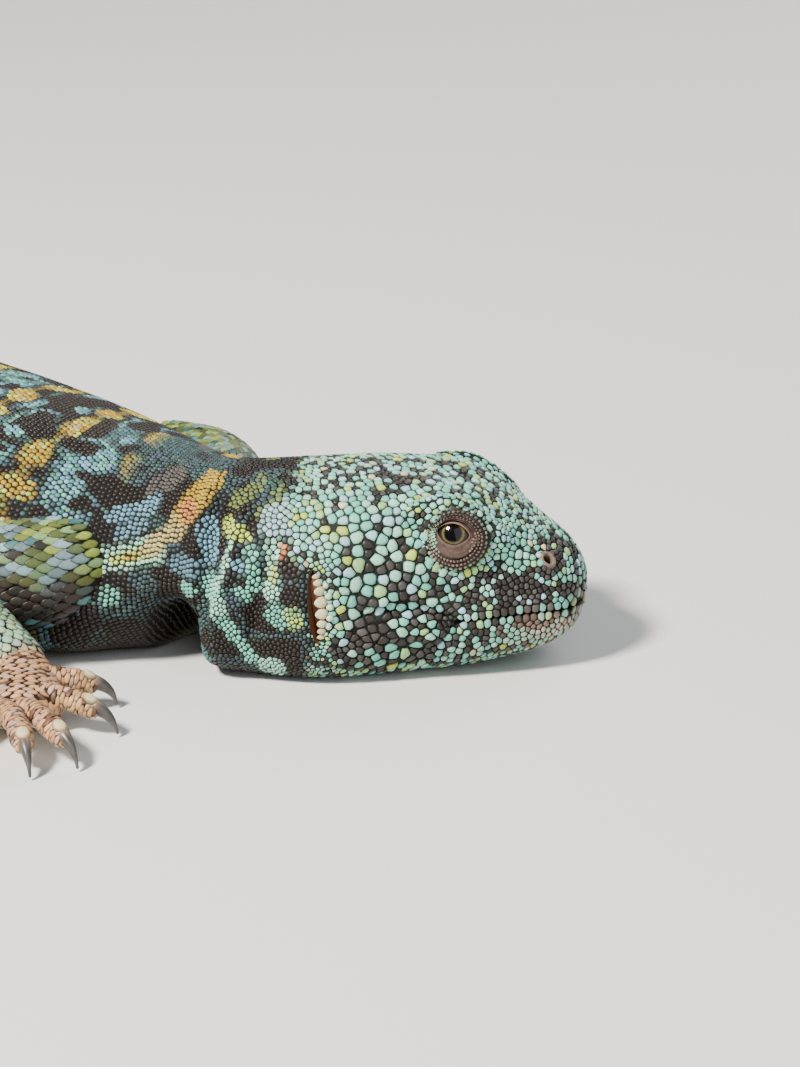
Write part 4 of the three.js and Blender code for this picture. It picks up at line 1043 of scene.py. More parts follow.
def rowsOn(points, sizeAt, first=0.0, jitter=0.09, stagger=0.15):
    # scales in staggered rows across a grid; sizeAt gives the step along and the width at a ring
    rings, sides = points.shape[:2]
    length = np.r_[0, np.cumsum(np.linalg.norm(np.diff(points, axis=0), axis=2).mean(axis=1))]
    girth = np.linalg.norm(points - np.roll(points, 1, axis=1), axis=2).sum(axis=1)
    at, row = first, 0
    made = []
    while at < length[-1]:
        long, wide = sizeAt(float(np.interp(at, length, np.arange(rings))))
        around = float(np.interp(at, length, girth))
        count = max(5, int(round(around / wide)))
        start = 0.5 * (row % 2) + stagger * draws.uniform(-1, 1)
        side = (np.arange(count) + start + jitter * draws.uniform(-1, 1, count)) / count * sides
        ring = np.interp(at + jitter * long * draws.uniform(-1, 1, count), length, np.arange(rings))
        made.append((ring, side, np.full(count, long), np.full(count, around / count)))
        at += long
        row += 1
    return tuple(np.concatenate(column) for column in zip(*made))


def keep(roots, mask):
    return {name: value[mask] for name, value in roots.items()}


def joinRoots(parts):
    return {name: np.concatenate([part[name] for part in parts]) for name in parts[0]}


def setForm(roots, long, wide, outline, thick, tilt, bend=0.0):
    # outline, height and lie of scales in rows; outline holds its corners and how pointed it is at the back
    n = len(roots["at"])
    roots["x"], roots["y"] = rhombs(np.broadcast_to(long, n), np.broadcast_to(wide, n), *outline)
    for name, value in (("thick", thick), ("tilt", tilt), ("bend", bend)):
        roots[name] = np.broadcast_to(value, n).astype(float)
    return roots


def rhombs(long, wide, sides, tip):
    # outline of a scale in rows: pointed to the back as far as tip says
    theta = 2 * np.pi * np.arange(sides) / sides
    power = 1.0 + 1.1 * (1 - tip)
    c, q = np.cos(theta), np.sin(theta)
    r = (np.abs(c) ** power + np.abs(q) ** power) ** (-1 / power)
    x = np.where(r * c > 0, r * c * (1 + 0.35 * tip), r * c)
    return long[:, None] * 0.5 * x, wide[:, None] * 0.5 * (r * q)


# shapes of one scale, level by level: share of its outline, rise as a share of its thickness, shade,
# and how far it leans to its tip; the shade darkens each scale down its flanks, partly dark edges and
# partly painted shade where it dips into the gaps
scaleShapes = {
    "plate": [(1.0, -0.5, 0.08, 0), (0.97, 0.28, 0.40, 0), (0.84, 0.76, 0.88, 0), (0.5, 0.98, 1.0, 0)],
    "pebble": [(1.0, -0.5, 0.2, 0), (0.88, 0.55, 0.72, 0), (0.5, 0.95, 1.0, 0)],
    "grain": [(1.0, -0.45, 0.22, 0), (0.80, 0.62, 0.92, 0)],
    "shingle": [(1.0, -0.35, 0.08, 0), (0.95, 0.42, 0.20, 0), (0.80, 0.78, 0.82, 0), (0.5, 0.95, 1.0, 0)],
    "foot": [(1.0, -0.5, 0.10, 0), (0.90, 0.55, 0.55, 0), (0.62, 0.92, 1.0, 0)],
    "tooth": [(1.0, -0.6, 0.22, 0), (0.96, 0.25, 0.62, 0.1), (0.78, 0.75, 0.97, 0.5), (0.42, 1.0, 1.0, 0.9)],
    "spine": [(1.0, -0.35, 0.35, 0), (0.8, 0.30, 0.75, 0.10), (0.46, 0.62, 1.0, 0.46)],
}
coatForm = {"peak": 1.04, "rootTilt": 0.35, "floor": 0.015, "patch": 0.0015}


def scalePoints(roots, shape):
    # the points of every scale, level by level and its peak last, with their shade: dark edges and painted
    # shade towards the rim
    x, y = roots["x"], roots["y"]  # outline, back along the body and across it
    n, m = x.shape
    co = np.zeros((n, m * len(shape) + 1, 3))
    tone = np.ones(co.shape[:2])
    back, across, normal = (roots[key][:, None, :] for key in ("back", "across", "normal"))
    for level, (share, rise, shade, lean) in enumerate(shape):
        px, py = x * share, y * share
        tilt = roots["tilt"][:, None] * px / np.abs(x).max(axis=1, keepdims=True)
        tilt = tilt * (1 if rise > 0 else coatForm["rootTilt"])
        up = roots["thick"][:, None] * rise + tilt - 0.5 * roots["bend"][:, None] * py ** 2
        ring = roots["at"][:, None] + px[..., None] * back + py[..., None] * across + up[..., None] * normal
        if lean:
            ring = ring + lean * roots["tip"][:, None, :]
        co[:, level * m:(level + 1) * m] = ring
        tone[:, level * m:(level + 1) * m] = shade
    peak = roots["normal"] * (roots["thick"] * coatForm["peak"])[:, None]
    co[:, -1] = roots["at"] + peak + roots.get("tip", 0)
    co[..., 2] = np.maximum(co[..., 2], coatForm["floor"])
    return co, tone


def scaleFaces(n, m, levels):
    # the corners of all faces and how many each face has: walls, peaks and undersides
    start = (np.arange(n) * (m * levels + 1))[:, None]
    k, following = np.arange(m), (np.arange(m) + 1) % m
    walls = np.concatenate([np.stack([level * m + k, level * m + following,
                                      (level + 1) * m + following, (level + 1) * m + k], -1)
                            for level in range(levels - 1)])
    top = (levels - 1) * m
    peaks = np.stack([top + k, top + following, np.full(m, top + m)], -1)
    corners = [start[:, :, None] + walls[None], start[:, :, None] + peaks[None], start + k[::-1][None]]
    counts = np.repeat([4, 3, m], [n * len(walls), n * m, n])
    return np.concatenate([part.ravel() for part in corners]), counts


def scaleMesh(name, co, corners, counts, flat):
    mesh = bpy.data.meshes.new(name)
    mesh.vertices.add(len(co))
    mesh.vertices.foreach_set("co", co.astype(np.float32).ravel())
    mesh.loops.add(len(corners))
    mesh.loops.foreach_set("vertex_index", corners.astype(np.int32))
    mesh.polygons.add(len(counts))
    mesh.polygons.foreach_set("loop_start", np.r_[0, np.cumsum(counts)[:-1]].astype(np.int32))
    mesh.update(calc_edges=True)
    mesh.polygons.foreach_set("use_smooth", np.arange(len(counts)) < len(counts) - flat)
    return mesh


def tintLayer(mesh, colour):
    layer = mesh.color_attributes.get("tint") or mesh.color_attributes.new("tint", "FLOAT_COLOR", "POINT")
    layer.data.foreach_set("color", np.c_[colour, np.ones(len(colour))].astype(np.float32).ravel())


def newPiece(name, mesh, look):
    piece = bpy.data.objects.new(name, mesh)
    bpy.context.scene.collection.objects.link(piece)
    piece.data.materials.append(look)
    return piece


def coatMesh(name, roots, shapeName, look):
    # every scale as its own small closed shell, all in one mesh
    shape = scaleShapes[shapeName]
    (n, m), levels = roots["x"].shape, len(shape)
    co, tone = scalePoints(roots, shape)
    corners, counts = scaleFaces(n, m, levels)
    mesh = scaleMesh(name, co.reshape(-1, 3) * mm, corners, counts, n)
    tintLayer(mesh, np.clip(roots["tint"][:, None, :] * tone[..., None], 0, 1).reshape(-1, 3))
    # in OFBake a scale is a small patch at its root's place on the unwrapped skin
    outline = np.stack([roots[way] / np.abs(roots[way]).max(axis=1, keepdims=True) for way in ("x", "y")], -1)
    patch = np.concatenate([outline * level[0] for level in shape] + [np.zeros((n, 1, 2))], axis=1)
    uv = roots["unwrap"][:, None, :] + patch * coatForm["patch"]
    bake = mesh.uv_layers.new(name="OFBake")
    bake.data.foreach_set("uv", uv.reshape(-1, 2)[corners].astype(np.float32).ravel())
    piece = newPiece(name, mesh, look)
    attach(piece, "root")
    print("coat", name, n, "scales", (counts - 2).sum(), "triangles")


def polygonOutlines(roots, sizes, sides, gap, stretch, power=15.0, near=12, longest=0.78, shortest=0.12):
    # each scale fills the room up to its neighbours, less a gap, as rounded polygons
    at = roots["at"]
    tree = pointTree(at)
    ids = np.array([[index for _, index, _ in tree.find_n(p, near + 1) if index != i][:near]
                    for i, p in enumerate(at)])
    delta = at[ids] - at[:, None, :]
    dx = np.sum(delta * roots["back"][:, None, :], axis=2) / stretch[:, None]
    dy = np.sum(delta * roots["across"][:, None, :], axis=2)
    span = np.hypot(dx, dy) + 1e-9
    turn = np.arctan2(dy, dx)
    # a bigger scale takes more of the room between two
    share = sizes[:, None] / (sizes[:, None] + sizes[ids])
    theta = 2 * np.pi * np.arange(sides) / sides
    facing = np.maximum(np.cos(theta[None, :, None] - turn[:, None, :]), 0)
    total = np.sum((facing / (span * share)[:, None, :]) ** power, axis=2) + 1e-9
    radius = np.minimum(total ** (-1 / power), longest * sizes[:, None]) - gap[:, None] / 2
    radius = np.maximum(radius, shortest * sizes[:, None])
    return radius * np.cos(theta) * stretch[:, None], radius * np.sin(theta)


def unwrapOf(u, v, box):
    low, high = np.array(box[:2]), np.array(box[2:])
    return low + (high - low) * np.clip(np.stack([u, v], -1), 0, 1)


trunkBox = (0.01, 0.01, 0.99, 0.58)  # the trunk's room on the unwrap; the limbs lie over it


def onUnwrap(s, around):
    # around runs from the keel over the left side, the crown and the right side back to the keel
    return unwrapOf(s / tailEnd, around, trunkBox)


# Looks
def plainLook(name, colour=None, rough=None):
    look = bpy.data.materials.new(name)
    look.use_nodes = True
    tree = look.node_tree
    tree.nodes.clear()
    out = tree.nodes.new("ShaderNodeOutputMaterial")
    shader = tree.nodes.new("ShaderNodeBsdfPrincipled")
    tree.links.new(shader.outputs["BSDF"], out.inputs["Surface"])
    if colour:
        shader.inputs["Base Color"].default_value = (*colour, 1)
        shader.inputs["Roughness"].default_value = rough
    return look, tree, shader


def rangeNode(tree, source, values):
    node = tree.nodes.new("ShaderNodeMapRange")
    for name, value in values.items():
        node.inputs[name].default_value = value
    tree.links.new(source, node.inputs["Value"])
    return node.outputs["Result"]


lookForm = {
    "detail": 4.0, "noiseFrom": 0.3, "noiseTo": 0.7, "smoother": 0.07, "rougher": 0.09, "relief": 0.35,
}


def tintedLook(name, rough, grainSize, bumpHeight, speckle, spec=0.5, coat=0.0):
    # the tint attribute with a fine speckle, and the same noise in its gloss and relief
    look, tree, shader = plainLook(name)
    new, link = tree.nodes.new, tree.links.new
    tint = new("ShaderNodeAttribute")
    tint.attribute_name = "tint"
    place = new("ShaderNodeTexCoord")
    fine = new("ShaderNodeTexNoise")
    fine.inputs["Scale"].default_value = grainSize
    fine.inputs["Detail"].default_value = lookForm["detail"]
    link(place.outputs["Object"], fine.inputs["Vector"])
    stain = new("ShaderNodeVectorMath")
    stain.operation = "SCALE"
    link(tint.outputs["Color"], stain.inputs[0])
    dots = {"From Min": lookForm["noiseFrom"], "From Max": lookForm["noiseTo"],
            "To Min": 1 - speckle, "To Max": 1 + speckle}
    link(rangeNode(tree, fine.outputs["Fac"], dots), stain.inputs["Scale"])
    link(stain.outputs["Vector"], shader.inputs["Base Color"])
    gloss = {"To Min": rough - lookForm["smoother"], "To Max": rough + lookForm["rougher"]}
    link(rangeNode(tree, fine.outputs["Fac"], gloss), shader.inputs["Roughness"])
    relief = new("ShaderNodeBump")
    relief.inputs["Strength"].default_value = lookForm["relief"]
    relief.inputs["Distance"].default_value = bumpHeight
    link(fine.outputs["Fac"], relief.inputs["Height"])
    link(relief.outputs["Normal"], shader.inputs["Normal"])
    shader.inputs["Specular IOR Level"].default_value = spec
    shader.inputs["Coat Weight"].default_value = coat
    shader.inputs["Coat Roughness"].default_value = 0.03
    return look


# roughness, grains to a metre, height of the relief in metres, speckle, specular level
scaleLook = tintedLook("scale_horn", 0.44, 2600, 0.00006, 0.16, 0.32)
lidScaleLook = tintedLook("lid_skin", 0.5, 3000, 0.00004, 0.12)
skinLook = tintedLook("bare_skin", 0.66, 3400, 0.00012, 0.22, 0.18)
hornLook = tintedLook("claw_horn", 0.34, 900, 0.00005, 0.2)
eyeLook = tintedLook("wet_eye", 0.10, 1200, 0.0, 0.05, 0.25, coat=0.35)
drumLook = plainLook("eardrum_skin", (0.16, 0.055, 0.022), 0.5)[0]

# Head scales: seeded as closely as their size asks, then pushed apart until they lie even
headTree = treeOf(skinPoints)
headScale = {
    "end": 52.0, "base": 0.82, "least": 0.56, "most": 1.75, "lip": 1.0,
    # cheek, temple, throat, front of the snout, patch behind the nostril
    "patches": [(0.72, 26.5, 8.0, 14.5, 8.0), (0.28, 30, 10, 24, 4), (0.34, 24, 8, 4.5, 3.2),
                (-0.10, 9.5, 3.6, 13.5, 3.2), (0.42, 8.9, 1.5, 17.8, 2.0)],
    "snout": (0.22, 6, 6, 2), "crown": (0.30, 22, 26, 14, 9), "beforeEar": (0.45, 34.2, 2.4, 21, 17),
    "belowEar": 0.60, "overNeck": 0.68, "underside": 1.05,
    "sides": 10, "thick": 0.26, "tilt": 0.10, "gap": (0.03, 0.032, 0.03),
    "grainBelow": 0.80, "platesUntil": 33, "cheekFrom": 17,
}
seeding = {
    "samples": 6, "onLips": 1.0, "pushedOnLips": 0.95, "dark": 0.84, "pale": 1.08,
    "least": 0.88, "range": 0.28, "even": (0.7, 1.2),
    "cell": 2.3, "room": 0.80, "rounds": 9, "near": 8, "apart": 0.53, "push": 0.34,
    "long": 0.42, "flatter": 0.30, "longPlace": (25, 9, 7.5, 4.5),  # cheek scales are drawn out along the jaw
}
lipRow = {"from": 0.9, "before": 0.4, "rows": [(0.72, 1.02), (-0.78, 1.05)], "vary": (0.9, 0.2)}


def headSize(s, out, up):
    # width of a head scale at a place, in mm
    away = np.abs(out)
    size = patchSum(headScale["base"], headScale["patches"], s, up)
    strength, reach, start, end = headScale["snout"]
    size = size + strength * bump(away, 0, reach) * smooth(start, end, s)
    strength, low, high, along, reach = headScale["crown"]
    size = size + strength * smooth(low, high, up) * bump(s, along, reach)
    near = sum(pathShare(s, away, up, brow[line], width) for line, width in brow["scaleReach"])
    size = toward(size, brow["scale"], np.clip(near, 0, 1))
    strength, along, reach, high, low = headScale["beforeEar"]
    size = size - strength * bump(s, along, reach) * smooth(high, low, up)
    size = toward(size, headScale["belowEar"], smooth(19, 13, up) * smooth(34.6, 37.0, s))
    size = toward(size, headScale["overNeck"], smooth(13, 19, up) * smooth(41, 52, s))
    size = toward(size, headScale["underside"], smooth(2.2, 0.8, up) * smooth(24, 12, away))
    return np.clip(size, headScale["least"], headScale["most"])


lidClear = {"reach": (0.95, 0.9), "out": 0.5}


def headFree(s, out, up):
    # true where a head scale may sit: off the lids, the nostrils and the ears
    free = np.ones(len(s), bool)
    points = onTrunk(s, out, up)
    for one in (-1, 1):
        middle, forward, upward, outward = eyeFrame(one)
        rel = points - middle
        far = sum(((rel @ way - centre) / (size * reach)) ** 2 for way, centre, size, reach in
                  zip((forward, upward), lids["border"], lids["borderSize"], lidClear["reach"]))
        free &= ~((far < 1) & ((out < 0) == (one < 0)) & (rel @ outward > lidClear["out"]))
    for spot, _, frameOf in openings:
        free &= openingShare(points, frameOf, spot, spot["clear"]) > 1
    return free


def lipHeight(s):
    return np.array([rowAt(mouth["line"], place)[1] for place in s])


def offLips(s, out, up, clear):
    return np.abs(up - lipHeight(s)) > np.where((s < mouth["corner"]) & (np.abs(out) > 1), clear, -1)


def lipRoots():
    # one row of small scales along each lip, on both sides
    found = []
    for over, step in lipRow["rows"]:
        s = lipRow["from"]
        while s < mouth["corner"] - lipRow["before"]:
            height = rowAt(mouth["line"], s)[1] + over
            found += [sideRay(s, height, side)[0] for side in (-1, 1)]
            s += step * (lipRow["vary"][0] + lipRow["vary"][1] * draws.random())
    return np.array(found)


def seedHead():
    # random places on the head, more of them where the scales are small
    sides = trunkGrid["sides"]
    last = int(np.searchsorted(places, headScale["end"]))
    grid = skinPoints[:last]
    quad = np.linalg.norm(np.cross(np.roll(grid, -1, 1)[:-1] - grid[:-1], grid[1:] - grid[:-1]), axis=2)
    size = headSize(*(value[:last - 1].ravel() for value in (trunkS, trunkOut, trunkUp)))
    weight = quad.ravel() / size ** 2
    wanted = int(weight.sum() * seeding["samples"])
    chosen = draws.choice(len(weight), wanted, p=weight / weight.sum())
    ring = chosen // sides + draws.random(wanted)
    side = chosen % sides + draws.random(wanted)
    at = sample(skinPoints, ring, side)[0]
    s, out, up = trunkPlace(at)
    return at[headFree(s, out, up) & offLips(s, out, up, seeding["onLips"])]


def thinOut(points, sizes):
    # indices of the points that don't lie too near one already kept
    cell = seeding["cell"]
    kept, buckets = [], {}
    steps = [(dx, dy, dz) for dx in (-1, 0, 1) for dy in (-1, 0, 1) for dz in (-1, 0, 1)]
    for i, (p, width) in enumerate(zip(points, sizes)):
        a, b, c = np.floor(p / cell).astype(int)
        near = [q for dx, dy, dz in steps for q in buckets.get((a + dx, b + dy, c + dz), ())]
        room = seeding["room"] * 0.5
        if i < lipCount or all(math.dist(p, points[q]) > room * (width + sizes[q]) for q in near):
            buckets.setdefault((a, b, c), []).append(i)
            kept.append(i)
    return kept


def longShare(s, up):
    along, reach, height, heightReach = seeding["longPlace"]
    return bump(s, along, reach) * bump(up, height, heightReach)


def headWidth(at, factor):
    s, out, up = trunkPlace(at)
    size = headSize(s, out, up) * factor
    size[:lipCount] = headScale["lip"]
    return size


def spreadHead(at, factor):
    # neighbours push each other off until they lie even; the scales of the lips stay
    for _ in range(seeding["rounds"]):
        tree = pointTree(at)
        ids = np.array([[index for _, index, _ in tree.find_n(p, seeding["near"])][1:] for p in at])
        s, _, up = trunkPlace(at)
        size = headWidth(at, factor)
        delta = at[:, None, :] - at[ids]
        flat = delta.copy()
        flat[..., 2] *= 1 + seeding["flatter"] * longShare(s, up)[:, None]
        span = np.linalg.norm(flat, axis=2) + 1e-9
        wanted = seeding["apart"] * (size[:, None] + size[ids])
        force = np.maximum(0, 1 - span / wanted)
        step = (delta / span[..., None] * (force * wanted * seeding["push"])[..., None]).sum(axis=1)
        step[:lipCount] = 0
        moved = at + step
        s, out, up = trunkPlace(moved)
        good = headFree(s, out, up) & (s < headScale["end"]) & offLips(s, out, up, seeding["pushedOnLips"])
        at = np.where(good[:, None], moved, at)
        at[lipCount:] = [headTree.find_nearest(p)[0] for p in at[lipCount:]]
    return at


headSeeds = seedHead()
headLips = lipRoots()
lipCount = len(headLips)


def placeHead():
    # dark scales are smaller than pale ones, and no two are of one size
    at = headSeeds
    s, out, up = trunkPlace(at)
    size = headSize(s, out, up)
    picks = draws.random((lipCount + len(at), 2))
    isDark = picks[lipCount:, 0] < darkShare(s, np.abs(out), up, at)
    factor = np.where(isDark, seeding["dark"], seeding["pale"])
    factor = factor * (seeding["least"] + seeding["range"] * draws.random(len(at)))
    factor = 1 + (factor - 1) * smooth(*seeding["even"], size)
    at = np.concatenate([headLips, at])
    factor = np.r_[np.ones(lipCount), factor]
    kept = thinOut(at, np.r_[np.full(lipCount, headScale["lip"]), size * factor[lipCount:]])
    return spreadHead(at[kept], factor[kept]), factor[kept], picks[kept]


headAt, headFactor, headPicks = placeHead()
headS, headOut, headUp = trunkPlace(headAt)
print("head roots", len(headAt), "lips", lipCount)


def smoothNormals(roots, near=7):
    at = roots["at"]
    tree = pointTree(at)
    ids = np.array([[index for _, index, _ in tree.find_n(p, near)] for p in at])
    normal = roots["normal"][ids].mean(axis=1)
    normal /= np.linalg.norm(normal, axis=1, keepdims=True) + 1e-9
    return rootsOf(at, normal, roots["back"])


def headRoots():
    normal = np.array([headTree.find_nearest(p)[1] for p in headAt])
    facing = np.interp(headS, lineS, lineFacing)
    back = np.stack([-np.cos(facing), -np.sin(facing), np.zeros(len(headS))], -1)
    return smoothNormals(rootsOf(headAt, normal, back, onTrunk(headS, 0, 9.0)))


def girthOf(s, out, up):
    # share round the body of a place, 0 on the keel and 1 on the crown
    rows = np.array(trunkRows, float)
    wide, widest = [np.interp(s, rows[:, 0], rows[:, k]) for k in (1, 3)]
    angle = np.arctan2(up - widest, np.abs(out) * 14 / np.maximum(wide, 4))
    return np.clip(angle / np.pi + 0.5, 0, 1)


def headCoat():
    roots = headRoots()
    size = headWidth(headAt, headFactor)
    pickA, pickB = headPicks.T
    girth = girthOf(headS, headOut, headUp)
    onHead = headTint(headS, headOut, headUp, headAt, pickA, pickB)
    behind = trunkTint(headS, girth, headOut, headUp, headAt, pickA, pickB)
    turn = smooth(34.5, 36.5, headS + 2.2 * grain(headAt, 3, 21) - 5.0 * smooth(15, 20, headUp))
    stretch = 1 + seeding["long"] * longShare(headS, headUp) + 0.12 * grain(headAt, 2, 22)
    least, bySize, vary = headScale["gap"]
    gap = least + bySize * size + vary * draws.random(len(size))
    roots["x"], roots["y"] = polygonOutlines(roots, size, headScale["sides"], gap, stretch)
    roots["thick"] = headScale["thick"] * np.clip(size, 0.7, 1.6) * (0.85 + 0.3 * pickB)
    roots["tilt"] = headScale["tilt"] * size
    roots["bend"] = np.zeros(len(size))
    roots["tint"] = mixIn(onHead, behind, turn)
    roots["unwrap"] = onUnwrap(headS, 0.5 + np.sign(headOut) * 0.5 * (1 - girth))
    large = (size > headScale["grainBelow"]) | (headS < headScale["platesUntil"])
    front = headS < headScale["cheekFrom"]
    coatMesh("head_scales", keep(roots, large & front), "plate", scaleLook)
    coatMesh("cheek_scales", keep(roots, large & ~front), "plate", scaleLook)
    coatMesh("nape_scales", keep(roots, ~large), "grain", scaleLook)


headCoat()


# Neck, back and belly scales
def coveredBy(at, covers, skip=None, deep=-0.10, reach=9.0):
    # true for roots that another part's skin covers
    hidden = np.zeros(len(at), bool)
    for tree, ident, low, high in covers:
        if ident == skip:
            continue
        close = np.all((at > low) & (at < high), axis=1) & ~hidden
        for i in np.flatnonzero(close):
            spot, normal, _, _ = tree.find_nearest(at[i], reach)
            if spot is not None and (Vector(at[i]) - spot).dot(normal) < deep:
                hidden[i] = True
    return hidden


def outwardTree(points):
    # a tree whose faces all point out, to tell inside from outside
    tree = treeOf(points)
    ring = points[len(points) // 2]
    normal = tree.find_nearest(Vector(ring[0]))[1]
    return treeOf(points[:, ::-1]) if normal.dot(Vector(ring[0] - ring.mean(axis=0))) < 0 else tree


def cover(points, ident, margin=0.2):
    flat = points.reshape(-1, 3)
    return outwardTree(points), ident, flat.min(axis=0) - margin, flat.max(axis=0) + margin


limbCovers = [cover(points, index) for index, (_, _, points) in enumerate(limbGrids)]
trunkCover = cover(skinPoints, -1)


def upShare(side):
    # 0 on the keel and 1 on the crown, for a place round the trunk's grid
    half = trunkGrid["sides"] / 2
    return 1 - np.abs(side % trunkGrid["sides"] - half) / half


def roundShare(side):
    return (side % trunkGrid["sides"]) / trunkGrid["sides"]


bodyScale = {
    "sizes": ([50, 60, 72, 90, 187], [0.67, 0.70, 0.87, 1.0, 1.05]), "long": 0.88, "jitter": 0.13,
    "overlap": (1.30, 1.08), "outline": (6, 0.25), "thick": 0.26, "tilt": 0.10,
    "pieces": [("neck_scales", 0, 72), ("chest_scales", 72, 104),
               ("belly_scales", 104, 142), ("hip_scales", 142, 200)],
}


def bodyCoat():
    start = int(np.searchsorted(places, headScale["end"] - 0.4))
    end = int(np.searchsorted(places, tailStart - 0.3))
    grid = skinPoints[start:end + 1]
    along = places[start:end + 1]

    def sizeAt(ring):
        wide = float(np.interp(np.interp(ring, np.arange(len(along)), along), *bodyScale["sizes"]))
        return wide * bodyScale["long"], wide
    ring, side, long, wide = rowsOn(grid, sizeAt, jitter=bodyScale["jitter"])
    roots = gridRoots(grid, ring, side)
    s, out, up = trunkPlace(roots["at"])
    hidden = coveredBy(roots["at"], limbCovers)
    pickA, pickB = draws.random(len(s)), draws.random(len(s))
    roots["tint"] = trunkTint(s, upShare(side), out, up, roots["at"], pickA, pickB)
    longer, wider = bodyScale["overlap"]
    setForm(roots, long * longer, wide * wider, bodyScale["outline"],
            bodyScale["thick"] * wide, bodyScale["tilt"] * wide)
    roots["unwrap"] = onUnwrap(s, roundShare(side))
    for name, low, high in bodyScale["pieces"]:
        coatMesh(name, keep(roots, ~hidden & (s >= low) & (s < high)), "grain", scaleLook)


bodyCoat()

# Scales of the limbs; over and wider say how far they lap over their neighbours along and across
limbScale = {
    "upper": {"long": 1.15, "wide": 1.65, "over": 1.95, "tip": 0.45, "first": 0.4, "wider": 1.10},
    "lower": {"long": 1.05, "wide": 1.6, "over": 1.85, "tip": 0.45, "first": 0.4, "wider": 1.10},
    "palm": {"long": 0.62, "wide": 1.5, "over": 1.5, "tip": 0.0, "first": 0.4, "wider": 1.18},
    "digit": {"long": 0.58, "wide": 2.0, "over": 1.42, "tip": 0.0, "first": 0.8, "wider": 1.18},
}
limbCoatForm = {
    "atRoot": 0.45, "rootRings": (3, 13), "outerBend": (0.8, 1.55), "back": 0.12, "corners": 8,
    "arm": (0.24, 0.19), "foot": (0.14, 0.08),  # thickness and tilt
    "footVary": (0.86, 0.26),  # shortest, and how much longer
    "box": (0.24, 0.012),  # room of each grid on the unwrap
}
capScale = {
    "ring": 6.2, "up": 0.1, "long": 2.3, "wide": 2.2, "ahead": 0.3, "outline": (8, 0.1),
    "form": (0.42, 0.10, 0.5),  # thickness, tilt and bend
}


def toeCap(points, box):
    # one broad pale scale over the root of the claw
    ring, side = np.array([len(points) - capScale["ring"]]), np.array([points.shape[1] * 0.25 - 0.5])
    roots = gridRoots(points, ring, side)
    roots["at"] = roots["at"] + roots["normal"] * capScale["up"]
    setForm(roots, capScale["long"], capScale["wide"], capScale["outline"], *capScale["form"])
    roots["x"] = roots["x"] + capScale["ahead"]
    roots["tint"] = (paints["cream"] * 0.6 + paints["sand"] * 0.3)[None]
    roots["unwrap"] = unwrapOf(np.array([0.95]), np.array([0.25]), box)
    return roots


def limbRoots(index, part, points):
    spec, form = limbScale[part], limbCoatForm
    atRoot = form["atRoot"] if part == "upper" else 1.0

    def sizeAt(ring):
        shrink = toward(atRoot, 1, float(smooth(*form["rootRings"], ring)))
        return spec["long"] * shrink, spec["wide"] * shrink
    ring, side, long, wide = rowsOn(points, sizeAt, spec["first"])
    roots = gridRoots(points, ring, side)
    hidden = coveredBy(roots["at"], limbCovers + [trunkCover], index)
    # on the outside of a bend the rows lie wider apart
    spans = np.linalg.norm(np.diff(points, axis=0), axis=2)
    i = np.clip(ring.astype(int), 0, len(spans) - 1)
    k = side.astype(int) % points.shape[1]
    long = long * np.clip(spans[i, k] / spans[i].mean(axis=1), *form["outerBend"])
    pickA, pickB = draws.random(len(ring)), draws.random(len(ring))
    u = ring / (len(points) - 1)
    height = np.sin(2 * np.pi * (side + 0.5) / points.shape[1])
    roots["tint"] = limbTint(part, height, u, roots["at"], pickA, pickB)
    least, spread = form["footVary"] if part in ("palm", "digit") else (1.0, 0.0)
    radius = np.linalg.norm(points - points.mean(axis=1, keepdims=True), axis=2).mean(axis=1)
    thick, tilt = form["foot"] if part in ("palm", "digit") else form["arm"]
    setForm(roots, long * spec["over"] * (least + spread * pickA), wide * spec["wider"],
            (form["corners"], spec["tip"]), thick, tilt,
            1 / np.maximum(radius[np.clip(ring.astype(int), 0, len(points) - 1)], 1.0))
    roots["x"] = roots["x"] + form["back"] * long[:, None]
    wideBox, tallBox = form["box"]
    left, low = 0.01 + wideBox * (index % 4), 0.6 + tallBox * (index // 4)
    box = (left, low, left + 0.23, low + 0.01)
    roots["unwrap"] = unwrapOf(u, (side % points.shape[1]) / points.shape[1], box)
    made = keep(roots, ~hidden)
    return joinRoots([made, toeCap(points, box)]) if part == "digit" else made


def limbCoat(name):
    made = {"upper": [], "lower": [], "palm": [], "digit": []}
    for index, (limbName, part, points) in enumerate(limbGrids):
        if limbName == name:
            made[part].append(limbRoots(index, part, points))
    coatMesh(name + "_scales", joinRoots(made["upper"] + made["lower"]), "shingle", scaleLook)
    coatMesh(name + "_foot", joinRoots(made["palm"] + made["digit"]), "foot", scaleLook)


for limbName in stances:
    limbCoat(limbName)

# Tail: small scales and rings of spines; sizes are shares of a ring's length
tailScale = {
    "apart": 1.75, "fewest": 9, "small": 0.55, "jitter": 0.08, "outline": (8, 0.3), "form": (0.24, 0.16, 0.6),
    "rows": [(0.14, 0.285), (0.33, 0.30), (0.52, 0.315), (0.72, 0.33), (0.90, 0.253)],  # place and length
    "wide": 1.02,
}
tailSpine = {
    "apart": 1.75, "fewest": 5, "lowest": 0.22, "place": 0.72, "markings": 0.8, "jitter": 0.02,
    "long": 0.56, "wide": 1.05, "outline": (8, 0.4), "form": (0.62, 0.25, 0.5),  # thickness, tilt and bend
    "share": 0.36, "side": (0.45, 0.5, 0.22),  # length of a spine; more on the sides, where and how far
    "lift": 22, "pale": (0.35, 0.25),  # degrees off the tail, straw in its colour
}


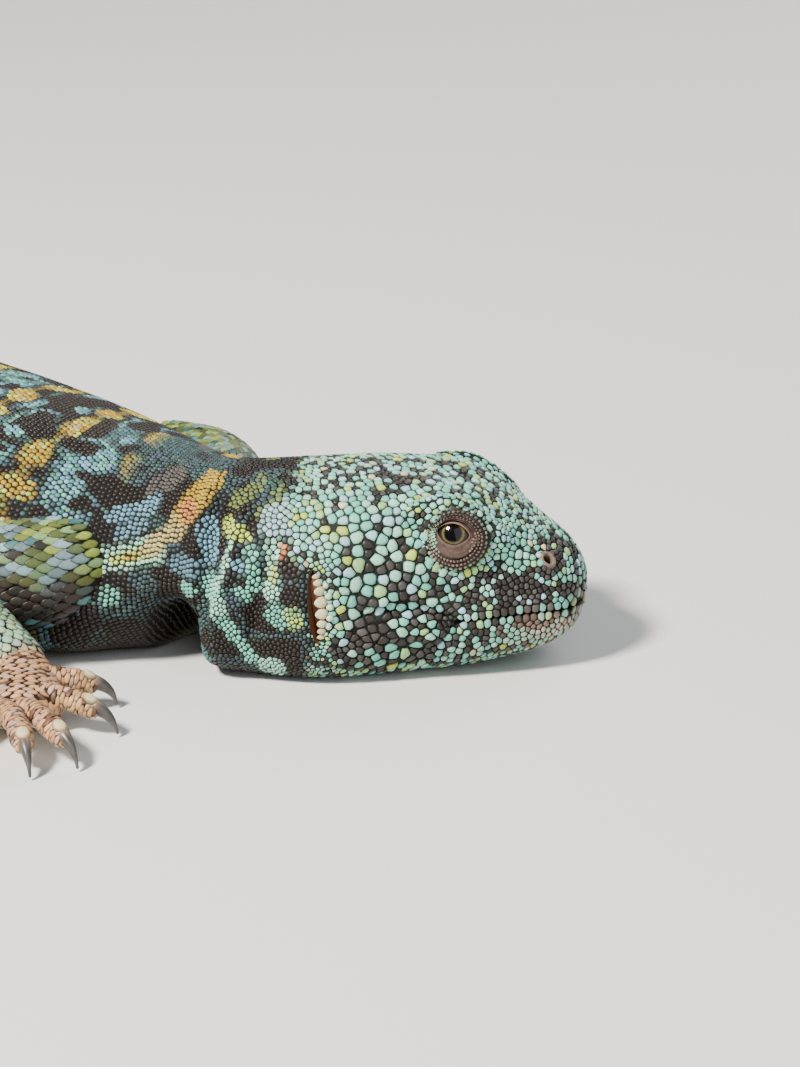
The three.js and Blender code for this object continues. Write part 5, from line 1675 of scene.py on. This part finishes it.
def tailRow(start, length, place, markings, side, long, wide, small, spec):
    # the roots of one row round the tail, with the picks of its scales
    ring = np.full(len(side), np.interp(start + length * place, places, np.arange(len(places))))
    roots = gridRoots(skinPoints, ring, side)
    pickA, pickB = draws.random(len(side)), draws.random(len(side))
    s = np.full(len(side), start + length * markings)
    roots["tint"] = tailTint(s, upShare(side), roots["at"], pickA, pickB)
    thick, tilt, bend = spec["form"]
    halfWide = rowAt(trunkRows, start + length / 2)[1]
    setForm(roots, long, wide, spec["outline"], thick * small, tilt * small, bend / halfWide)
    roots["unwrap"] = onUnwrap(s, roundShare(side))
    return roots, pickA, pickB


def spineRow(start, length, girth, small):
    low = tailSpine["lowest"]
    wide = tailSpine["apart"] * small
    number = max(tailSpine["fewest"], int(round(girth * (1 - low) / wide)))
    # 0 is the keel, 1 the crown and 2 the keel again
    around = low + (2 - 2 * low) * (np.arange(number) + 0.5) / number
    side = (around + tailSpine["jitter"] * draws.uniform(-1, 1, number)) * (trunkGrid["sides"] / 2)
    roots, pickA, pickB = tailRow(start, length, tailSpine["place"], tailSpine["markings"], side,
                                  length * tailSpine["long"], wide * tailSpine["wide"], small, tailSpine)
    least, spread = tailSpine["pale"]
    roots["tint"] = mixIn(roots["tint"], paints["straw"], least + spread * pickB)
    more, middle, reach = tailSpine["side"]
    long = length * tailSpine["share"] * (1 + more * bump(upShare(side), middle, reach))
    long = long * (0.9 + 0.2 * pickA)
    lift = np.radians(tailSpine["lift"] * (0.85 + 0.3 * pickB))
    roots["tip"] = (roots["back"] * (long * np.cos(lift))[:, None]
                    + roots["normal"] * (long * np.sin(lift))[:, None])
    return roots


def tailCoat():
    flat, spines = [], []
    for start, length in zip(whorlStarts, whorlLengths):
        ring = int(np.interp(start + length / 2, places, np.arange(len(places))))
        girth = np.linalg.norm(np.diff(skinPoints[ring], axis=0), axis=1).sum()
        small = toward(tailScale["small"], 1, length / whorlSize["longest"])
        number = max(tailScale["fewest"], int(round(girth / (tailScale["apart"] * small))))
        wide = girth / number * tailScale["wide"]
        for row, (place, tall) in enumerate(tailScale["rows"]):
            side = np.arange(number) + 0.5 * (row % 2) + tailScale["jitter"] * draws.uniform(-1, 1, number)
            side = side / number * trunkGrid["sides"]
            flat.append(tailRow(start, length, place, place, side, length * tall, wide, small, tailScale)[0])
        spines.append(spineRow(start, length, girth, small))
    coatMesh("tail_scales", joinRoots(flat), "foot", scaleLook)
    coatMesh("tail_spines", joinRoots(spines), "spine", scaleLook)


tailCoat()

# Fine scales of the lids and the toothed edge of the ear
lidScale = {
    "from": 0.10, "until": 0.985, "least": 0.44, "more": 0.40, "widerFrom": (0.45, 1.0), "step": 0.28,
    "bare": (0.47, 0.7, 0.30, 0.10, 0.12),  # under the eye, its power, over it, how much more, behind it
    "jitter": (0.12, 0.1), "green": ["mint", "turquoise", "leaf"],
    "overlap": (0.92, 0.95), "rear": 0.5, "outline": (6, 0.1), "form": (0.34, 0.05),
    "unwrap": (17, 0.2, 0.012),
}


def lidRow(points, side, w, row, outwardFrom):
    ring = float(np.interp(w, lids["shares"], np.arange(len(lids["shares"]))))
    loop = points[int(ring)]
    wide = lidScale["least"] + lidScale["more"] * smooth(*lidScale["widerFrom"], w)
    number = int(np.linalg.norm(loop - np.roll(loop, 1, axis=0), axis=1).sum() / wide)
    shift, slip = lidScale["jitter"]
    turn = (np.arange(number) + 0.5 * (row % 2) + shift * draws.uniform(-1, 1, number)) / number * 2 * np.pi
    rings = np.full(number, ring) + slip * draws.uniform(-1, 1, number)
    roots = gridRoots(points, rings, turn / (2 * np.pi) * points.shape[1], outwardFrom)
    low, high = np.clip(-np.sin(turn), 0, 1), np.clip(np.sin(turn), 0, 1)
    rear = np.clip(-np.cos(turn), 0, 1) ** 3
    pickA, pickB = draws.random(number), draws.random(number)
    tint = mixIn(np.tile(paints["mauve"], (number, 1)), paints["rose"], 0.15 + 0.4 * pickB)
    tint = shaded(tint, 0.36, 0.32, pickA)
    # painted shade: the upper lid's outer scales dark umber, in the furrow under the brow
    tint = mixIn(tint, paints["umber"], 0.9 * smooth(0.1, 0.6, high) * smooth(0.36, 0.5, w))
    green = np.array([paints[name] for name in lidScale["green"]])[(pickB * 2.99).astype(int)]
    edge = smooth(0.62, 0.92, w + 0.14 * (pickA - 0.5)) * (0.75 + 0.25 * rear) * (1 - 0.8 * high)
    roots["tint"] = mixIn(tint, green, np.maximum(edge, 0.85 * rear * smooth(0.62, 0.3, w)))
    longer, wider = lidScale["overlap"]
    thick, tilt = lidScale["form"]
    setForm(roots, wide * longer * (1 + lidScale["rear"] * rear * smooth(0.6, 0.3, w)), wide * wider,
            lidScale["outline"], thick * wide, tilt * wide)
    along, around, reach = lidScale["unwrap"]
    roots["unwrap"] = (onUnwrap(np.full(number, along), np.full(number, 0.5 + side * around))
                       + np.stack([-np.cos(turn), np.sin(turn)], -1) * reach * w)
    # the crescent under the eye and the edge over it stay bare
    under, power, over, overMore, behind = lidScale["bare"]
    bare = np.where(np.sin(turn) < 0, under * low ** power, over + overMore * high)
    return keep(roots, w > toward(bare, behind, rear)), wide


def lidCoat():
    parts = []
    for side in (-1, 1):
        w, row = lidScale["from"], 0
        while w < lidScale["until"]:
            roots, wide = lidRow(lidGrids[side], side, w, row, eyeFrame(side)[0])
            parts.append(roots)
            w += wide * lidScale["step"]
            row += 1
    coatMesh("lid_scales", joinRoots(parts), "pebble", lidScaleLook)


earTeeth = {
    # place up and forward of the slit's edge, size
    "rows": [(4.35, 0.30, 0.8), (3.45, 0.35, 1.1), (2.30, 0.42, 1.45), (0.75, 0.45, 1.65),
             (-0.85, 0.45, 1.6), (-2.25, 0.40, 1.25), (-3.30, 0.35, 1.0), (-4.15, 0.30, 0.8),
             (3.0, 1.25, 0.85), (1.55, 1.45, 0.95), (0.0, 1.5, 1.0), (-1.55, 1.4, 0.95), (-2.8, 1.2, 0.8)],
    "vary": (0.94, 0.12), "up": 0.10, "long": 1.05, "wide": 1.02, "outline": (12, 0.35), "form": (0.40, 0.16),
    "reach": 0.55, "lift": 0.15, "point": 0.05, "shade": (0.80, 0.25), "green": (0.45, 0.2),
    "unwrap": (34.4, 0.28, 0.01),
}


def earFringe(side, frameOf):
    centre, normal, back, rise = frameOf
    y, ahead, size = np.array(earTeeth["rows"]).T
    n = len(y)
    least, spread = earTeeth["vary"]
    size = size * (least + spread * draws.random(n))
    x = -ear["size"][0] * np.sqrt(np.maximum(1 - (y / ear["size"][1]) ** 2, 0.1)) - ahead
    base = np.array([dropOn(centre + back * a + rise * b, normal) for a, b in zip(x, y)])
    roots = rootsOf(base + normal * earTeeth["up"], np.tile(normal, (n, 1)), np.tile(back, (n, 1)))
    thick, tilt = earTeeth["form"]
    setForm(roots, size * earTeeth["long"], size * earTeeth["wide"], earTeeth["outline"],
            size * thick, size * tilt)
    near = smooth(1.0, 0.5, ahead)
    roots["tip"] = (near[:, None] * (back * earTeeth["reach"] + normal * earTeeth["lift"])
                    + earTeeth["point"] * normal)
    least, spread = earTeeth["shade"]
    tone = least + spread * draws.random(n)
    fade, byShade = earTeeth["green"]
    tint = paints["cream"][None] * tone[:, None]
    roots["tint"] = mixIn(tint, paints["mint"], fade * (1 - near) + byShade * (tone - least))
    along, around, apart = earTeeth["unwrap"]
    roots["unwrap"] = onUnwrap(np.full(n, along), 0.5 + side * around + apart * np.linspace(0, 1, n))
    return roots


lidCoat()
fringes = [earFringe(side, frameOf) for spot, side, frameOf in openings if spot is ear]
coatMesh("ear_teeth", joinRoots(fringes), "tooth", scaleLook)


# The skin itself, dark between the scales
def skinTint(tint, share=0.02):
    return tint * share + paints["night"] * 0.35


def gridColours(mesh, colour, ids):
    # colours for a drawn-out ball, its two ends in the mean colour
    whole = np.tile(colour.mean(axis=0), (len(mesh.vertices), 1))
    whole[ids.ravel()] = colour
    tintLayer(mesh, whole)


def trunkShade():
    sides = trunkGrid["sides"]
    s, a = np.repeat(places, sides), np.tile(upShare(np.arange(sides)), len(places))
    p = skinPoints.reshape(-1, 3)
    out, up = trunkOut.ravel(), trunkUp.ravel()
    even = np.full(len(s), 0.5)
    turnTail = smooth(tailStart - 4, tailStart + 4, s)
    onTrunkColour = trunkTint(s, a, out, up, p, even, even)
    colour = mixIn(headTint(s, out, up, p, even, even), onTrunkColour, smooth(34, 38, s))
    colour = mixIn(colour, tailTint(s, a, p, even, even), turnTail)
    return skinTint(colour, (0.02 + 0.3 * turnTail)[:, None])


def limbShade(part, points):
    count = points.shape[1]
    height = np.tile(np.sin(2 * np.pi * (np.arange(count) + 0.5) / count), len(points))
    u = np.repeat(np.linspace(0, 1, len(points)), count)
    even = np.full(len(u), 0.5)
    return skinTint(limbTint(part, height, u, points.reshape(-1, 3), even, even))


def joinInto(target, others):
    bpy.ops.object.select_all(action="DESELECT")
    for one in others + [target]:
        one.select_set(True)
    bpy.context.view_layer.objects.active = target
    bpy.ops.object.join()


def growOn(trunk, limb):
    # the union of the trunk and a limb
    bpy.ops.object.select_all(action="DESELECT")
    bpy.context.view_layer.objects.active = trunk
    union = trunk.modifiers.new("union", "BOOLEAN")
    union.operation = "UNION"
    union.solver = "MANIFOLD"
    union.object = limb
    bpy.ops.object.modifier_apply(modifier="union")
    bpy.data.objects.remove(limb)


def wholeSkin():
    # limbs joined on, each point in the markings of the skin beside it
    knownPoints, knownColours = [skinPoints.reshape(-1, 3)], [trunkShade()]
    limbBalls = []
    for index, (limbName, part, points) in enumerate(limbGrids):
        limbBalls.append(ballOf(f"{limbName}_{part}_{index}", points)[0])
        knownPoints.append(points.reshape(-1, 3))
        knownColours.append(limbShade(part, points))
    for limbBall in limbBalls:
        growOn(trunkBall, limbBall)
    tree = pointTree(np.concatenate(knownPoints))
    ids = [tree.find(vertex.co / mm)[1] for vertex in trunkBall.data.vertices]
    tintLayer(trunkBall.data, np.concatenate(knownColours)[ids])
    print("skin", len(trunkBall.data.vertices))


def patchPiece(name, points, colour, closed, side):
    # a ring-shaped patch of skin that faces away from the head, its inner ring closed if asked
    rings, sides = points.shape[:2]
    quads = gridQuads(rings, sides).tolist() + ([list(range(sides))] if closed else [])
    mesh = bpy.data.meshes.new(name)
    mesh.from_pydata((points.reshape(-1, 3) * mm).tolist(), [], quads)
    tintLayer(mesh, colour)
    piece = newPiece(name, mesh, skinLook)
    bpy.ops.object.select_all(action="DESELECT")
    facesOut(piece)
    normals = np.zeros(len(mesh.polygons) * 3)
    mesh.polygons.foreach_get("normal", normals)
    if (normals.reshape(-1, 3) @ eyeFrame(side)[3]).sum() < 0:
        mesh.flip_normals()
    return piece


lidPaint = {
    # folds: painted shade and painted light following the folds of the lids
    "skin": (0.27, 0.14, 0.5), "folds": (0.30, 0.15, 0.3), "outer": (0.85, 0.40, 0.52, 0.7),
    # colour, its shade, strength, middle and reach, how much all round, under and over the eye
    "lines": [
        ("rose", 0.6, 0.75, 0.05, 0.045, (0.2, 0, 0.8)), ("rose", 0.24, 0.4, 0.24, 0.1, (0, 1, 0)),
        # the two night lines are painted shade in the folds under and over the eye
        ("night", 1, 0.8, 0.43, 0.04, (0, 1, 0)), ("night", 1, 0.7, 0.19, 0.05, (0, 0, 1)),
    ],
}


def lidColour(points):
    rings, sides = points.shape[:2]
    w = np.repeat(lids["shares"], sides)
    turn = np.tile(np.linspace(0, 2 * np.pi, sides, endpoint=False), rings)
    low, high = np.clip(-np.sin(turn), 0, 1), np.clip(np.sin(turn), 0, 1)
    base, waver, size = lidPaint["skin"]
    shade = base + waver * grain(points.reshape(-1, 3), size, 31)
    tint = np.tile(paints["mauve"], (len(w), 1)) * shade[:, None]
    # painted shade in the troughs of the folds and painted light on their crests
    depth, start, end = lidPaint["folds"]
    tint = tint * (1 + depth * lidFolds(w, turn, high) * smooth(start, end, w))[:, None]
    for name, shade, strength, middle, reach, (even, under, over) in lidPaint["lines"]:
        where = even + under * low + over * high
        tint = mixIn(tint, paints[name] * shade, strength * bump(w, middle, reach) * where)
    # painted shade: the lid's inner rim, turned in towards the eye, almost black
    tint = mixIn(tint, paints["night"], 0.9 * smooth(0.012, 0.0, w))
    strength, start, end, shade = lidPaint["outer"]
    return mixIn(tint, paints["umber"] * shade, strength * smooth(start, end, w))


def nostrilColour(grid):
    share = np.repeat([row[0] for row in nostril["profile"]], grid.shape[1])
    p = grid.reshape(-1, 3)
    tint = np.tile(paints["rose"] * 0.30 + paints["ash"] * 0.48, (len(share), 1))
    tint = tint * (0.85 + 0.3 * grain(p, 0.45, 35) + 0.25 * grain(p, 0.2, 36))[:, None]
    # painted shade: the inside of the opening and its closed bottom dark
    tint = mixIn(tint, paints["umber"] * 0.4, smooth(1.1, 0.8, share))
    return mixIn(tint, paints["umber"], smooth(1.8, 2.8, share))


def earColour(grid):
    share = np.repeat([row[0] for row in ear["profile"]], grid.shape[1])
    tint = np.tile(paints["umber"] * 0.6, (len(share), 1))
    return mixIn(tint, paints["rust"] * 0.55, smooth(1.3, 1.0, share) * 0.9)


def skinPiece():
    wholeSkin()
    patches = []
    for side in (-1, 1):
        for name, grid, colour, closed in (("lids", lidGrids[side], lidColour, False),
                                           ("nostril", nostrilGrids[side], nostrilColour, True),
                                           ("ear", earGrids[side], earColour, True)):
            patches.append(patchPiece(f"{name}_{side}", grid, colour(grid), closed, side))
    trunkBall.data.materials.clear()
    trunkBall.data.materials.append(skinLook)
    joinInto(trunkBall, patches)
    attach(trunkBall, "root")
    own = ("claw", "eye", "eardrum")
    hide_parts(*[name for name in nodes if not any(word in name for word in own)])


skinPiece()

# Eyes: a dark ball with a thin pale ring round the pupil; arcs in mm from the middle of the iris
eyeForm = {
    "gaze": (0.05, 1.98, 4.0),  # forward, up and out
    "segments": 64, "rings": 48, "inside": 0.10, "cornea": 0.42,
    "ring": (1.55, 0.12), "ringShade": 0.42, "white": (1.68, 1.82), "whiteShade": 0.5, "pupil": 0.10,
}


def eyePiece(side):
    word = "right" if side < 0 else "left"
    middle, forward, upward, outward = eyeFrame(side)
    gaze = sum(share * way for share, way in zip(eyeForm["gaze"], (forward, upward, outward)))
    gaze /= np.linalg.norm(gaze)
    bpy.ops.object.select_all(action="DESELECT")
    bpy.ops.mesh.primitive_uv_sphere_add(segments=eyeForm["segments"], ring_count=eyeForm["rings"], radius=1)
    ball = bpy.context.active_object
    ball.name = f"eye_ball_{word}"
    co = np.zeros(len(ball.data.vertices) * 3)
    ball.data.vertices.foreach_get("co", co)
    co = co.reshape(-1, 3)
    one = np.cross(gaze, upward)
    one /= np.linalg.norm(one)
    two = np.cross(one, gaze)
    angle = np.arccos(np.clip(co[:, 2], -1, 1))
    radius = eyeSpot["radius"] - eyeForm["inside"] + eyeForm["inside"] * bump(angle, 0, eyeForm["cornea"])
    points = middle + (co[:, :1] * one + co[:, 1:2] * two + co[:, 2:] * gaze) * radius[:, None]
    ball.data.vertices.foreach_set("co", (points * mm).ravel())
    ball.data.update()
    arc = angle * eyeSpot["radius"]
    tint = np.tile(paints["night"] * eyeForm["pupil"], (len(arc), 1))
    tint = mixIn(tint, paints["straw"] * eyeForm["ringShade"],
                 bump(arc, *eyeForm["ring"]) * (0.75 + 0.25 * grain(points, 0.25, 41)))
    tintLayer(ball.data, mixIn(tint, paints["umber"] * eyeForm["whiteShade"], smooth(*eyeForm["white"], arc)))
    bpy.ops.object.shade_smooth()
    ball.data.materials.append(eyeLook)
    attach(ball, "root")
    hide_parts(f"eye_{word}")


for side in (-1, 1):
    eyePiece(side)


# Claws
def clawColour(points):
    # grey horn, sandy at its root and dark at its tip
    u = np.repeat(np.linspace(0, 1, len(points)), points.shape[1])
    tint = np.tile(paints["ash"], (len(u), 1)) * (0.52 + 0.2 * grain(points.reshape(-1, 3), 0.7, 51))[:, None]
    tint = mixIn(tint, paints["sand"] * 0.9, smooth(0.3, 0.0, u) * 0.6)
    return mixIn(tint, paints["bark"] * 0.6, smooth(0.75, 1.0, u) * 0.7)


def clawSet():
    balls = []
    for index, points in enumerate(clawGrids):
        ball, ids = ballOf(f"claw_{index}", points)
        gridColours(ball.data, clawColour(points), ids)
        ball.data.materials.append(hornLook)
        balls.append(ball)
    claws = balls[0]
    joinInto(claws, balls[1:])
    claws.name = "claws"
    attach(claws, "root")
    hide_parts(*[name for name in nodes if "claw" in name])


clawSet()
for word in ("right", "left"):
    drum = nodes[f"eardrum_{word}"]
    drum.data.materials.clear()
    drum.data.materials.append(drumLook)
print("eyes, claws and eardrums set")

# Floor, light and camera, in metres
studio = {
    "floor": (0.74, 0.72, 0.69), "floorRough": 0.85, "sky": (0.80, 0.84, 0.90), "skyStrength": 0.27,
    "middle": (0.08, 0, 0.01), "ahead": (0.06, 0, 0),  # what the lamps aim at, and their shift forward
    "lamps": {
        "key": {"from": (-0.10, -0.62, 0.72), "size": 0.16, "power": 25.0, "colour": (1.0, 0.955, 0.89)},
        "fill": {"from": (0.75, -0.35, 0.45), "size": 0.9, "power": 3.2, "colour": (0.88, 0.93, 1.0)},
        "back": {"from": (0.05, 0.75, 0.55), "size": 0.7, "power": 5.0, "colour": (0.95, 0.97, 1.0)},
    },
    "camera": (0.39427, -0.33207, 0.17381), "aim": (0.14572, 0.01003, 0.0199), "lens": 108.45, "sensor": 36,
}


def addLamp(name, lamp):
    light = bpy.data.lights.new(name, "AREA")
    light.size = lamp["size"]
    light.energy = lamp["power"]
    light.color = lamp["colour"]
    holder = bpy.data.objects.new(name, light)
    bpy.context.scene.collection.objects.link(holder)
    holder.location = Vector(lamp["from"]) + Vector(studio["ahead"])
    holder.rotation_euler = (Vector(studio["middle"]) - holder.location).to_track_quat("-Z", "Y").to_euler()


bpy.ops.object.select_all(action="DESELECT")
bpy.ops.mesh.primitive_plane_add(size=6, location=(0, 0, 0))
floor = bpy.context.active_object
floor.name = "floor"
floor.data.materials.append(plainLook("pale_floor", studio["floor"], studio["floorRough"])[0])

world = bpy.data.worlds.new("studio")
bpy.context.scene.world = world
world.use_nodes = True
world.node_tree.nodes["Background"].inputs["Color"].default_value = (*studio["sky"], 1)
world.node_tree.nodes["Background"].inputs["Strength"].default_value = studio["skyStrength"]
for name, lamp in studio["lamps"].items():
    addLamp(name, lamp)

camera = bpy.data.objects.new("camera", bpy.data.cameras.new("camera"))
bpy.context.scene.collection.objects.link(camera)
camera.location = studio["camera"]
camera.rotation_euler = (Vector(studio["aim"]) - camera.location).to_track_quat("-Z", "Y").to_euler()
camera.data.lens = studio["lens"]
camera.data.sensor_width = studio["sensor"]
camera.data.sensor_fit = "AUTO"
camera.data.clip_start = 0.01
bpy.context.scene.camera = camera

print("scene ready")
